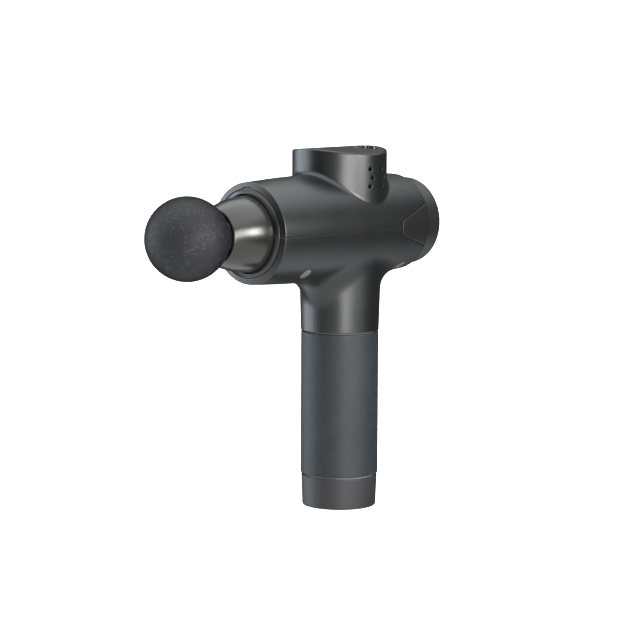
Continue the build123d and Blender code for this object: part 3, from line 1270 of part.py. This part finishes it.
with BuildPart() as nickel_links:
    for link_z in LINK_BOTTOMS_Z:
        with BuildSketch(level(link_z)):
            with PolarLocations(CELL_CIRCLE_RADIUS, CELL_COUNT):
                Circle(LINK_CORNER_RADIUS)
            make_hull()
        extrude(amount=LINK_THICKNESS)

with BuildPart() as battery_board:
    with BuildSketch(level(BATTERY_BOARD_Z)):
        Circle(HOLDER_RADIUS)
    extrude(amount=BOARD_THICKNESS)
    with BuildSketch(level(BATTERY_BOARD_Z + BOARD_THICKNESS)):
        with GridLocations(*BATTERY_CHIP_PITCH, *CHIP_GRID):
            Rectangle(BATTERY_CHIP_SIZE[0], BATTERY_CHIP_SIZE[1])
    extrude(amount=BATTERY_CHIP_SIZE[2])

# ------------------------------------------------------------ written files ----
pieces = {
    "upper_shell": upper_shell,
    "lower_shell": lower_shell,
    "turret_cap": turret_cap,
    "rear_cap": rear_cap,
    "display_lens": display_lens,
    "display_board": display_board,
    "display_ribbon": display_ribbon,
    "key_board": key_board,
    "key_ribbon": key_ribbon,
    "status_led": status_led,
    "power_key": power_key,
    "speed_key": speed_key,
    "front_bezel": front_bezel,
    "nose_cone": nose_cone,
    "nose_seal": nose_seal,
    "guide_tube": guide_tube,
    "guide_bushes": guide_bushes,
    "damper_ring": damper_ring,
    "tail_damper": tail_damper,
    "drive_frame": drive_frame,
    "frame_screws": frame_screws,
    "shaft_bearings": shaft_bearings,
    "motor_stator": motor_stator,
    "motor_windings": motor_windings,
    "rotor_can": rotor_can,
    "rotor_magnets": rotor_magnets,
    "motor_shaft": motor_shaft,
    "crank_disc": crank_disc,
    "crank_pin": crank_pin,
    "big_end_bearing": big_end_bearing,
    "connecting_rod": connecting_rod,
    "small_end_bush": small_end_bush,
    "wrist_pin": wrist_pin,
    "piston": piston,
    "head_stem": head_stem,
    "stem_rings": stem_rings,
    "head_ball": head_ball,
    "controller_board": controller_board,
    "motor_leads": motor_leads,
    "battery_leads": battery_leads,
    "case_screws": case_screws,
    "screw_plugs": screw_plugs,
    "grip_tube": grip_tube,
    "grip_sleeve": grip_sleeve,
    "base_cap": base_cap,
    "base_screws": base_screws,
    "charge_jack": charge_jack,
    "charge_pin": charge_pin,
    "switch_body": switch_body,
    "power_rocker": power_rocker,
    "battery_cells": battery_cells,
    "cell_holders": cell_holders,
    "nickel_links": nickel_links,
    "battery_board": battery_board,
}

os.makedirs("parts", exist_ok=True)
for name, piece in pieces.items():
    piece.part.label = name
    export_step(piece.part, f"parts/{name}.step")
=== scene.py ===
import math

import bmesh
import bpy
from mathutils import Matrix, Quaternion, Vector, noise


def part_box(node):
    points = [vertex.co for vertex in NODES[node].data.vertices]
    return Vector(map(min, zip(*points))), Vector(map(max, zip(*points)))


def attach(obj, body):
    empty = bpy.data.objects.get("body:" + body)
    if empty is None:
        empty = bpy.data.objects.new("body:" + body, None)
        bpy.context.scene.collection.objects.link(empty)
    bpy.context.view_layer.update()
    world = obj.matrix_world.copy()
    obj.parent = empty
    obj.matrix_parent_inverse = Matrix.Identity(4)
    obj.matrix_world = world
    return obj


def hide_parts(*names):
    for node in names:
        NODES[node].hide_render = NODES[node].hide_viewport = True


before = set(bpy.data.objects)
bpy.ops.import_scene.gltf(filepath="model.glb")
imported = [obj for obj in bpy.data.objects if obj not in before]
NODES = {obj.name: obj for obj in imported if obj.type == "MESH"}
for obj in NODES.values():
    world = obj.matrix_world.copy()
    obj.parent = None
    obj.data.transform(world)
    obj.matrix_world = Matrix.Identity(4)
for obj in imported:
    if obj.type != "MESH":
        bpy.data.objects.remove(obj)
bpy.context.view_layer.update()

# All lengths are in metres, in the frame of the CAD model.
AXIS_Z = 0.1806
BALL_CENTRE = Vector((0.136, 0.0, AXIS_Z))
BALL_RADIUS = 0.026
STEM_RADIUS = 0.009
STEM_CLEARANCE = 0.00005
BORE_EDGE = 0.0008  # rounding where the stem's bore meets the ball
GRIP_RADIUS = 0.025
GRIP_BORE = 0.02306
GRIP_STEP = 0.0006  # flat ring beside the bore at each end of the grip
GRIP_LIP = 0.0007  # rounding of the grip's outer edges

CAMERA_AZIMUTH = 133.19
CAMERA_ELEVATION = 6.93
CAMERA_ROLL = 0.25
CAMERA_PLACE = Vector((1.18097, 1.08451, 0.31941))
LENS = 144.8
SENSOR = 36.0

# Lights. Radiances are relative to a floor that shows white; glows are (start, end, level).
LIGHT_AIM = Vector((0.02, 0.0, 0.15))
FLOOR_SIZE = 6.0
FLOOR_GLOW = 0.85
ROOM_LEVEL = 0.07
CEILING_LEAN = 0.1
CEILING_GLOW = (0.36, 0.78, 3.0)
GROUND_LEAN = 0.35
GROUND_GLOW = (0.30, 0.60, 1.5)
COOL_WHITE = (0.82, 0.92, 1.0)

# Depth and frequency of the fine relief pressed into the two soft pieces.
FOAM_RELIEF = (0.00009, 900.0)
GRIP_RELIEF = (0.00006, 260.0)


# ------------------------------------------------------------ node helpers ----
class Shader:
    """A material built from nodes, with short calls for the usual ones."""

    def __init__(self, name):
        self.material = bpy.data.materials.new(name)
        self.material.use_nodes = True
        self.tree = self.material.node_tree
        self.tree.nodes.clear()
        self.output = self.add("ShaderNodeOutputMaterial")
        self.place = self.add("ShaderNodeTexCoord").outputs["Object"]

    def add(self, kind, **settings):
        node = self.tree.nodes.new(kind)
        for key, value in settings.items():
            setattr(node, key, value)
        return node

    def feed(self, node, **inputs):
        for key, value in inputs.items():
            socket = node.inputs[key.replace("_", " ")]
            if isinstance(value, bpy.types.NodeSocket):
                self.tree.links.new(value, socket)
            else:
                socket.default_value = value
        return node

    def scaled(self, scale):
        """Object coordinates stretched by a triple."""
        mapping = self.add("ShaderNodeMapping")
        self.tree.links.new(self.place, mapping.inputs["Vector"])
        mapping.inputs["Scale"].default_value = scale
        return mapping.outputs["Vector"]

    def noise(self, scale, detail=3.0, rough=0.55, vector=None):
        node = self.add("ShaderNodeTexNoise")
        self.feed(node, Vector=vector or self.place, Scale=scale, Detail=detail, Roughness=rough)
        return node.outputs["Fac"]

    def cells(self, scale, feature="F1", vector=None):
        node = self.add("ShaderNodeTexVoronoi", feature=feature)
        self.feed(node, Vector=vector or self.place, Scale=scale)
        return node.outputs["Distance"]

    def waves(self, scale, vector=None, distortion=0.0, direction="X"):
        node = self.add("ShaderNodeTexWave", bands_direction=direction)
        self.feed(node, Vector=vector or self.place, Scale=scale, Distortion=distortion)
        return node.outputs["Fac"]

    def ramp(self, value, low, high, to_low=0.0, to_high=1.0):
        node = self.add("ShaderNodeMapRange", interpolation_type="SMOOTHSTEP")
        self.tree.links.new(value, node.inputs["Value"])
        for key, number in (("From Min", low), ("From Max", high), ("To Min", to_low), ("To Max", to_high)):
            node.inputs[key].default_value = number
        return node.outputs["Result"]

    def mix(self, share, first, second):
        node = self.add("ShaderNodeMix", data_type="RGBA")
        for socket, value in ((node.inputs[0], share), (node.inputs[6], first), (node.inputs[7], second)):
            if isinstance(value, bpy.types.NodeSocket):
                self.tree.links.new(value, socket)
            elif isinstance(value, tuple):
                socket.default_value = (*value, 1.0)
            else:
                socket.default_value = value
        return node.outputs[2]

    def bump(self, height, distance, strength=1.0, normal=None):
        node = self.add("ShaderNodeBump")
        self.feed(node, Height=height, Distance=distance, Strength=strength)
        if normal is not None:
            self.tree.links.new(normal, node.inputs["Normal"])
        return node.outputs["Normal"]

    def rounded(self, radius):
        """A normal that makes hard edges look rounded off by a radius."""
        node = self.add("ShaderNodeBevel", samples=8)
        node.inputs["Radius"].default_value = radius
        return node.outputs["Normal"]

    def crown(self, slope, normal):
        """A normal that makes a flat face across the barrel look slightly domed."""
        spot = self.add("ShaderNodeNewGeometry").outputs["Position"]
        offset = self.add("ShaderNodeVectorMath", operation="SUBTRACT")
        self.tree.links.new(spot, offset.inputs[0])
        offset.inputs[1].default_value = (0.0, 0.0, AXIS_Z)
        across = self.add("ShaderNodeVectorMath", operation="MULTIPLY")
        self.tree.links.new(offset.outputs[0], across.inputs[0])
        across.inputs[1].default_value = (0.0, 1.0, 1.0)
        length = self.add("ShaderNodeVectorMath", operation="LENGTH")
        self.tree.links.new(across.outputs[0], length.inputs[0])
        node = self.add("ShaderNodeBump", invert=True)
        self.feed(node, Height=length.outputs["Value"], Distance=slope, Strength=1.0, Normal=normal)
        return node.outputs["Normal"]

    def facing(self):
        """0 where a surface faces the viewer and 1 at a grazing angle."""
        return self.add("ShaderNodeLayerWeight").outputs["Facing"]

    def surface(self, **inputs):
        node = self.add("ShaderNodeBsdfPrincipled")
        self.feed(node, **inputs)
        self.tree.links.new(node.outputs["BSDF"], self.output.inputs["Surface"])
        return self.material


def moulded(name, dark, light, rough, rough_spread, grain=0.000012, edge=0.0008, crown=0.0, **extra):
    """Moulded plastic: faint flow marks in the colour, uneven gloss and a fine spark-eroded grain."""
    s = Shader(name)
    flow = s.noise(38.0, detail=4.0, vector=s.scaled((1.0, 1.0, 0.45)))
    speck = s.noise(1900.0, detail=2.0)
    colour = s.mix(s.ramp(flow, 0.3, 0.7), dark, light)
    pale = tuple(min(1.0, 1.8 * c + 0.01) for c in light)
    colour = s.mix(s.ramp(speck, 0.68, 0.8, 0.0, 0.35), colour, pale)
    gloss = s.ramp(s.noise(21.0, detail=5.0), 0.25, 0.75, rough - rough_spread, rough + rough_spread)
    shape = s.crown(crown, s.rounded(edge)) if crown else s.rounded(edge)
    relief = s.bump(s.noise(2600.0, detail=2.0), grain, normal=shape)
    return s.surface(Base_Color=colour, Roughness=gloss, Normal=relief, **extra)


def rubber(name, dark, light, rough, pore_scale, pore_depth, shine=0.5, edge_shine=None, specks=0.0):
    """Rubber or closed-cell foam: a mottled colour, a skin of tiny pores and, if asked, pale specks."""
    s = Shader(name)
    cloud = s.noise(55.0, detail=5.0)
    mottle = s.noise(620.0, detail=3.0, rough=0.7)
    colour = s.mix(s.ramp(cloud, 0.3, 0.7), dark, light)
    colour = s.mix(s.ramp(mottle, 0.52, 0.78, 0.0, 0.55), colour, tuple(1.5 * c + 0.002 for c in light))
    if specks:
        spots = s.ramp(s.cells(900.0), 0.16, 0.34, specks, 0.0)
        chosen = s.ramp(s.noise(260.0, detail=1.0), 0.52, 0.62)
        both = s.add("ShaderNodeMath", operation="MULTIPLY")
        s.tree.links.new(spots, both.inputs[0])
        s.tree.links.new(chosen, both.inputs[1])
        colour = s.mix(both.outputs[0], colour, tuple(5.0 * c + 0.02 for c in light))
    pores = s.ramp(s.cells(pore_scale), 0.05, 0.45)
    relief = s.bump(pores, pore_depth)
    relief = s.bump(mottle, pore_depth * 1.5, normal=relief)
    gloss = s.ramp(mottle, 0.3, 0.7, rough - 0.05, rough + 0.05)
    level = shine if edge_shine is None else s.ramp(s.facing(), 0.25, 0.8, shine, edge_shine)
    return s.surface(Base_Color=colour, Roughness=gloss, Normal=relief, Specular_IOR_Level=level)


def metal(name, tint, rough, stretch=(1.0, 1.0, 1.0), scale=420.0, wear=0.12):
    """Machined or cast metal with fine tool marks along one direction and a patchy polish."""
    s = Shader(name)
    marks = s.noise(scale, detail=4.0, vector=s.scaled(stretch))
    patches = s.noise(65.0, detail=4.0)
    colour = s.mix(s.ramp(marks, 0.3, 0.7), tuple(c * (1.0 - wear) for c in tint), tint)
    gloss = s.ramp(patches, 0.3, 0.7, rough - 0.06, rough + 0.08)
    relief = s.bump(marks, 0.000008, normal=s.rounded(0.0003))
    return s.surface(Base_Color=colour, Roughness=gloss, Metallic=1.0, Normal=relief)


def layered(name, base, line, scale, amount, rough, vector=(1.0, 1.0, 1.0), metallic=0.0):
    """A base colour crossed by fine bands, as on boards, windings, cells and cable sheaths."""
    s = Shader(name)
    bands = s.waves(scale, vector=s.scaled(vector), distortion=0.6)
    cloud = s.noise(90.0, detail=3.0)
    colour = s.mix(s.ramp(bands, 0.35, 0.65, 0.0, amount), base, line)
    colour = s.mix(s.ramp(cloud, 0.3, 0.7, 0.0, 0.25), colour, tuple(0.6 * c for c in base))
    gloss = s.ramp(cloud, 0.3, 0.7, rough - 0.05, rough + 0.08)
    relief = s.bump(bands, 0.00003)
    return s.surface(Base_Color=colour, Roughness=gloss, Metallic=metallic, Normal=relief)


def board(name):
    """Solder mask over copper tracks, with bright pads."""
    s = Shader(name)
    tracks = s.cells(210.0, feature="DISTANCE_TO_EDGE")
    pads = s.cells(340.0)
    colour = s.mix(s.ramp(tracks, 0.02, 0.06, 0.55, 0.0), (0.006, 0.075, 0.035), (0.03, 0.19, 0.09))
    colour = s.mix(s.ramp(pads, 0.10, 0.14, 0.8, 0.0), colour, (0.62, 0.58, 0.44))
    gloss = s.ramp(s.noise(300.0), 0.3, 0.7, 0.3, 0.5)
    relief = s.bump(tracks, 0.00004)
    return s.surface(Base_Color=colour, Roughness=gloss, Normal=relief)


# -------------------------------------------------------------- materials ----
CASING = moulded("satin_black_casing", (0.0022, 0.0023, 0.0026), (0.0032, 0.0033, 0.0034), 0.36, 0.03)
CAP = moulded("satin_black_cap", (0.0024, 0.0024, 0.0025), (0.0036, 0.0036, 0.0036), 0.40, 0.03)
TURRET_TOP = moulded("satin_brown_black_top", (0.0080, 0.0074, 0.0068), (0.0110, 0.0104, 0.0094), 0.42, 0.04,
                     Specular_IOR_Level=0.36)
BEZEL = moulded("satin_blue_black_bezel", (0.0026, 0.0030, 0.0040), (0.0036, 0.0042, 0.0052), 0.30, 0.03,
                crown=0.30)
BASE = moulded("satin_warm_black_base", (0.0125, 0.0120, 0.0132), (0.0160, 0.0152, 0.0165), 0.50, 0.05,
               Specular_IOR_Level=0.36)
# Screw plugs: their pale grey colour is partly a painted highlight, standing in for the light the flush
# plugs catch.
PLUG_PARTLY_PAINTED_HIGHLIGHT = moulded("grey_plugs_partly_painted_highlight", (0.060, 0.065, 0.063), (0.09, 0.095, 0.092), 0.5, 0.05, edge=0.0007)
KEY = moulded("gloss_black_key", (0.0040, 0.0040, 0.0044), (0.0060, 0.0060, 0.0066), 0.30, 0.03, edge=0.0002)
ROCKER = moulded("gloss_black_rocker", (0.008, 0.008, 0.008), (0.012, 0.012, 0.012), 0.2, 0.03)
PLASTIC = moulded("grey_inner_plastic", (0.10, 0.10, 0.105), (0.16, 0.16, 0.165), 0.5, 0.06)
NOSE = moulded("gun_metal_lacquer", (0.0050, 0.0044, 0.0036), (0.0064, 0.0058, 0.0048), 0.25, 0.015,
               grain=0.000002, edge=0.0012, Specular_IOR_Level=0.52)
FOAM = rubber("charcoal_foam", (0.0054, 0.0049, 0.0076), (0.0070, 0.0072, 0.0080), 0.58, 1500.0, 0.00018,
              shine=0.27, edge_shine=0.06, specks=1.0)
GRIP = rubber("blue_grey_silicone", (0.0090, 0.0114, 0.0136), (0.0120, 0.0150, 0.0174), 0.54, 3200.0,
              0.000012, shine=0.30)
RUBBER = rubber("soft_black_rubber", (0.006, 0.006, 0.006), (0.010, 0.010, 0.010), 0.7, 2400.0, 0.00001)
CAST = metal("blasted_cast_alloy", (0.50, 0.51, 0.53), 0.48, scale=1500.0)
STEEL = metal("ground_steel", (0.56, 0.56, 0.58), 0.26, stretch=(0.05, 1.0, 1.0), scale=1100.0)
LAMINATION = layered("steel_laminations", (0.30, 0.30, 0.31), (0.10, 0.10, 0.10), 260.0, 0.8, 0.4,
                     (0, 0, 6), 1.0)
MAGNET = metal("nickel_plate", (0.62, 0.61, 0.58), 0.2, scale=700.0)
BRONZE = metal("sintered_bronze", (0.50, 0.36, 0.17), 0.42, scale=1800.0, wear=0.3)
BLACK_STEEL = metal("black_zinc_screws", (0.07, 0.07, 0.075), 0.34, stretch=(1, 1, 8), scale=800.0)
COPPER = layered("enamelled_copper", (0.55, 0.22, 0.09), (0.16, 0.05, 0.02), 420.0, 0.9, 0.3, (0, 0, 3), 0.9)
CELL_WRAP = layered("blue_shrink_wrap", (0.02, 0.11, 0.30), (0.03, 0.15, 0.38), 26.0, 0.4, 0.3, (0, 0, 2))
CABLE = layered("red_cable_sheath", (0.32, 0.02, 0.015), (0.22, 0.012, 0.01), 300.0, 0.6, 0.45, (0, 0, 1))
RIBBON = layered("amber_ribbon_tracks", (0.42, 0.17, 0.03), (0.55, 0.33, 0.16), 160.0, 0.9, 0.35, (0, 5, 0))
BOARD = board("green_circuit_board")
LENS_GLASS = moulded("smoked_lens", (0.002, 0.002, 0.003), (0.004, 0.004, 0.005), 0.09, 0.02,
                     grain=0.0000005, Coat_Weight=0.6)
LIGHT_GUIDE = moulded("frosted_light_guide", (0.30, 0.32, 0.33), (0.42, 0.44, 0.45), 0.3, 0.05)

FINISHES = {
    CASING: ("upper_shell", "lower_shell"),
    PLUG_PARTLY_PAINTED_HIGHLIGHT: ("screw_plugs",),
    CAP: ("rear_cap",),
    TURRET_TOP: ("turret_cap",),
    BEZEL: ("front_bezel",),
    BASE: ("base_cap",),
    KEY: ("power_key", "speed_key"),
    ROCKER: ("power_rocker",),
    PLASTIC: ("grip_tube", "cell_holders", "head_stem", "guide_bushes", "charge_jack", "switch_body"),
    NOSE: ("nose_cone",),
    FOAM: ("head_ball",),
    GRIP: ("grip_sleeve",),
    RUBBER: ("nose_seal", "damper_ring", "tail_damper", "stem_rings"),
    CAST: ("drive_frame", "guide_tube", "connecting_rod"),
    STEEL: ("shaft_bearings", "motor_shaft", "crank_disc", "crank_pin", "big_end_bearing", "wrist_pin",
            "piston", "rotor_can"),
    LAMINATION: ("motor_stator",),
    MAGNET: ("rotor_magnets", "nickel_links"),
    BRONZE: ("small_end_bush", "charge_pin"),
    BLACK_STEEL: ("case_screws", "frame_screws", "base_screws"),
    COPPER: ("motor_windings",),
    CELL_WRAP: ("battery_cells",),
    CABLE: ("battery_leads", "motor_leads"),
    RIBBON: ("display_ribbon", "key_ribbon"),
    BOARD: ("display_board", "key_board", "controller_board", "battery_board"),
    LENS_GLASS: ("display_lens",),
    LIGHT_GUIDE: ("status_led",),
}
for finish, names in FINISHES.items():
    for name in names:
        mesh = NODES[name].data
        mesh.materials.clear()
        mesh.materials.append(finish)


# ------------------------------------------------------------- new pieces ----
def lathe(name, profile, origin, axis, side, steps):
    """A closed skin turned around an axis, from (along, radius) pairs. A radius of 0 closes an end."""
    mesh = bmesh.new()
    axis, side = Vector(axis), Vector(side)
    other = axis.cross(side)
    rings = []
    for along, radius in profile:
        if radius == 0:
            rings.append([mesh.verts.new(origin + axis * along)])
            continue
        middle = origin + axis * along
        turns = (2 * math.pi * k / steps for k in range(steps))
        rings.append([mesh.verts.new(middle + (side * math.cos(a) + other * math.sin(a)) * radius)
                      for a in turns])
    pairs = list(zip(rings, rings[1:]))
    if len(rings[0]) > 1:
        pairs.append((rings[-1], rings[0]))
    for low, high in pairs:
        for k in range(steps):
            corners = [low[k % len(low)], low[(k + 1) % len(low)]]
            corners += [high[(k + 1) % len(high)], high[k % len(high)]]
            mesh.faces.new(list(dict.fromkeys(corners)))
    bmesh.ops.recalc_face_normals(mesh, faces=mesh.faces)
    data = bpy.data.meshes.new(name)
    mesh.to_mesh(data)
    mesh.free()
    data.polygons.foreach_set("use_smooth", [True] * len(data.polygons))
    piece = bpy.data.objects.new(name, data)
    bpy.context.scene.collection.objects.link(piece)
    return piece


def roughen(piece, depth, scale, reach):
    """Pushes the skin in by a fine noise wherever reach(point) is above 0; never outwards."""
    for vertex, normal in zip(piece.data.vertices, [v.normal.copy() for v in piece.data.vertices]):
        share = reach(vertex.co)
        if share > 0:
            level = 0.5 + 0.5 * noise.noise(vertex.co * scale) + 0.35 * noise.noise(vertex.co * scale * 2.7)
            vertex.co -= normal * depth * share * max(0.0, min(1.0, level))
    piece.data.update()


def arc(centre, radius, start, end, count):
    """Profile points on a circle, from one angle to another in degrees, both ends included."""
    angles = [math.radians(start + (end - start) * k / (count - 1)) for k in range(count)]
    return [(centre[0] + radius * math.cos(a), centre[1] + radius * math.sin(a)) for a in angles]


mouth = math.degrees(math.asin((STEM_RADIUS + BORE_EDGE) / BALL_RADIUS))
bore_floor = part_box("head_stem")[1].x + STEM_CLEARANCE - BALL_CENTRE.x
mouth_along = -BALL_RADIUS * math.cos(math.radians(mouth))
ball_profile = [(bore_floor, 0.0), (bore_floor, 0.6 * STEM_RADIUS), (bore_floor, STEM_RADIUS)]
bore_depth = mouth_along + BORE_EDGE - bore_floor
ball_profile += [(bore_floor + bore_depth * k / 6, STEM_RADIUS) for k in range(1, 7)]
ball_profile += arc((mouth_along + BORE_EDGE, STEM_RADIUS + BORE_EDGE), BORE_EDGE, 270.0, 190.0, 4)[1:]
ball_profile += arc((0.0, 0.0), BALL_RADIUS, 180.0 - mouth, 1.0, 170)
ball_profile.append((BALL_RADIUS, 0.0))
foam_ball = lathe("foam_ball", ball_profile, BALL_CENTRE, (1, 0, 0), (0, 1, 0), 288)
foam_ball.data.materials.append(FOAM)
roughen(foam_ball, *FOAM_RELIEF, lambda co: 1.0 if (co - BALL_CENTRE).length > 0.97 * BALL_RADIUS else 0.0)
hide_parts("head_ball")
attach(foam_ball, "head")

grip_low, grip_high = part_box("grip_sleeve")
height = grip_high.z - grip_low.z
grip_profile = [(0.0, GRIP_BORE), (0.0, GRIP_BORE + GRIP_STEP)]
grip_profile += arc((GRIP_LIP, GRIP_RADIUS - GRIP_LIP), GRIP_LIP, 180.0, 90.0, 6)
grip_profile += [(GRIP_LIP + (height - 2 * GRIP_LIP) * k / 120, GRIP_RADIUS) for k in range(1, 120)]
grip_profile += arc((height - GRIP_LIP, GRIP_RADIUS - GRIP_LIP), GRIP_LIP, 90.0, 0.0, 6)
grip_profile += [(height, GRIP_BORE + GRIP_STEP), (height, GRIP_BORE)]
grip_profile += [(height * (12 - k) / 12, GRIP_BORE) for k in range(1, 12)]
grip_skin = lathe("grip_skin", grip_profile, Vector((0, 0, grip_low.z)), (0, 0, 1), (1, 0, 0), 192)
grip_skin.data.materials.append(GRIP)
roughen(grip_skin, *GRIP_RELIEF, lambda co: 1.0 if co.xy.length > GRIP_RADIUS - 0.0002 else 0.0)
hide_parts("grip_sleeve")
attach(grip_skin, "housing")


# ---------------------------------------------------- floor, lights, camera ----
def compass(azimuth, elevation):
    a, e = math.radians(azimuth), math.radians(elevation)
    return Vector((math.sin(a) * math.cos(e), -math.cos(a) * math.cos(e), math.sin(e)))


def stage_floor():
    """A pale floor that shows white, with a soft contact shadow. It is there for the camera alone."""
    bm = bmesh.new()
    bmesh.ops.create_grid(bm, x_segments=24, y_segments=24, size=FLOOR_SIZE)
    data = bpy.data.meshes.new("studio_floor")
    bm.to_mesh(data)
    bm.free()
    floor = bpy.data.objects.new("studio_floor", data)
    bpy.context.scene.collection.objects.link(floor)
    s = Shader("pale_floor")
    tone = s.mix(s.ramp(s.noise(2.2, detail=3.0), 0.3, 0.7), (0.80, 0.80, 0.80), (0.84, 0.84, 0.84))
    paper = s.add("ShaderNodeBsdfDiffuse")
    s.feed(paper, Color=tone)
    glow = s.add("ShaderNodeEmission")
    s.feed(glow, Color=(1.0, 1.0, 1.0, 1.0), Strength=FLOOR_GLOW)
    seen = s.add("ShaderNodeAddShader")
    s.tree.links.new(paper.outputs[0], seen.inputs[0])
    s.tree.links.new(glow.outputs[0], seen.inputs[1])
    below = s.add("ShaderNodeBsdfTransparent")
    one_sided = s.add("ShaderNodeMixShader")
    s.tree.links.new(s.add("ShaderNodeNewGeometry").outputs["Backfacing"], one_sided.inputs[0])
    s.tree.links.new(seen.outputs[0], one_sided.inputs[1])
    s.tree.links.new(below.outputs[0], one_sided.inputs[2])
    s.tree.links.new(one_sided.outputs[0], s.output.inputs["Surface"])
    floor.data.materials.append(s.material)
    for ray in ("diffuse", "glossy", "transmission", "volume_scatter", "shadow"):
        setattr(floor, "visible_" + ray, False)


def softbox(name, bearing, elevation, distance, width, height, radiance, colour=(1.0, 1.0, 1.0), spin=0.0):
    """A rectangular studio light. Its bearing counts from the camera towards picture right."""
    data = bpy.data.lights.new(name, "AREA")
    data.shape = "RECTANGLE"
    data.size, data.size_y = width, height
    data.energy = radiance * math.pi * width * height
    data.color = colour
    lamp = bpy.data.objects.new(name, data)
    back = compass(CAMERA_AZIMUTH + bearing, elevation)
    lamp.location = LIGHT_AIM + back * distance
    lamp.rotation_mode = "QUATERNION"
    lamp.rotation_quaternion = back.to_track_quat("Z", "Y") @ Quaternion((0, 0, 1), math.radians(spin))
    lamp.visible_camera = False
    bpy.context.scene.collection.objects.link(lamp)


def studio_world():
    """White for the camera; for the rest a room with a bright ceiling, a paler floor and dim walls."""
    world = bpy.data.worlds.new("studio")
    bpy.context.scene.world = world
    world.use_nodes = True
    tree = world.node_tree
    tree.nodes.clear()

    def add(kind, **settings):
        node = tree.nodes.new(kind)
        for key, value in settings.items():
            setattr(node, key, value)
        return node

    def glow(lean, start, end, level):
        """Light that grows from 0 to a level as the ray's direction turns towards lean."""
        along = add("ShaderNodeVectorMath", operation="DOT_PRODUCT")
        tree.links.new(direction, along.inputs[0])
        along.inputs[1].default_value = lean
        rise = add("ShaderNodeMapRange", interpolation_type="SMOOTHSTEP")
        tree.links.new(along.outputs["Value"], rise.inputs["Value"])
        for key, number in (("From Min", start), ("From Max", end), ("To Max", level)):
            rise.inputs[key].default_value = number
        return rise.outputs["Result"]

    direction = add("ShaderNodeTexCoord").outputs["Generated"]
    front = compass(CAMERA_AZIMUTH, 0.0)
    total = ROOM_LEVEL
    for lean, start, end, level in (
        ((*(CEILING_LEAN * front).xy, 1.0), *CEILING_GLOW),
        ((*(GROUND_LEAN * front).xy, -1.0), *GROUND_GLOW),
    ):
        tally = add("ShaderNodeMath", operation="ADD")
        tree.links.new(glow(lean, start, end, level), tally.inputs[0])
        if isinstance(total, float):
            tally.inputs[1].default_value = total
        else:
            tree.links.new(total, tally.inputs[1])
        total = tally.outputs[0]
    room = add("ShaderNodeBackground")
    tree.links.new(total, room.inputs["Strength"])
    room.inputs["Color"].default_value = (0.97, 0.99, 1.0, 1.0)
    white = add("ShaderNodeBackground")
    white.inputs["Color"].default_value = (1.0, 1.0, 1.0, 1.0)
    white.inputs["Strength"].default_value = 1.02
    mix = add("ShaderNodeMixShader")
    tree.links.new(add("ShaderNodeLightPath").outputs["Is Camera Ray"], mix.inputs[0])
    tree.links.new(room.outputs[0], mix.inputs[1])
    tree.links.new(white.outputs[0], mix.inputs[2])
    tree.links.new(mix.outputs[0], add("ShaderNodeOutputWorld").inputs["Surface"])


stage_floor()
studio_world()
softbox("key_light", 27.5, 3.5, 0.85, 0.78, 0.29, 14.5, spin=33.0)
softbox("round_light", 58.5, 13.0, 0.85, 0.24, 0.24, 34.0)
softbox("left_light", -103.0, 3.0, 1.2, 1.10, 1.20, 4.8, COOL_WHITE)

camera = bpy.data.objects.new("camera", bpy.data.cameras.new("camera"))
bpy.context.scene.collection.objects.link(camera)
back = compass(CAMERA_AZIMUTH, CAMERA_ELEVATION)
right = Vector((0, 0, 1)).cross(back).normalized()
up = back.cross(right)
turn = math.radians(CAMERA_ROLL)
rolled_right = right * math.cos(turn) + up * math.sin(turn)
rolled_up = up * math.cos(turn) - right * math.sin(turn)
basis = Matrix((rolled_right, rolled_up, back)).transposed()
camera.rotation_mode = "QUATERNION"
camera.rotation_quaternion = basis.to_quaternion()
camera.location = CAMERA_PLACE
camera.data.lens = LENS
camera.data.sensor_width = SENSOR
camera.data.clip_start = 0.05
bpy.context.scene.camera = camera
bpy.context.scene.view_settings.view_transform = "Standard"
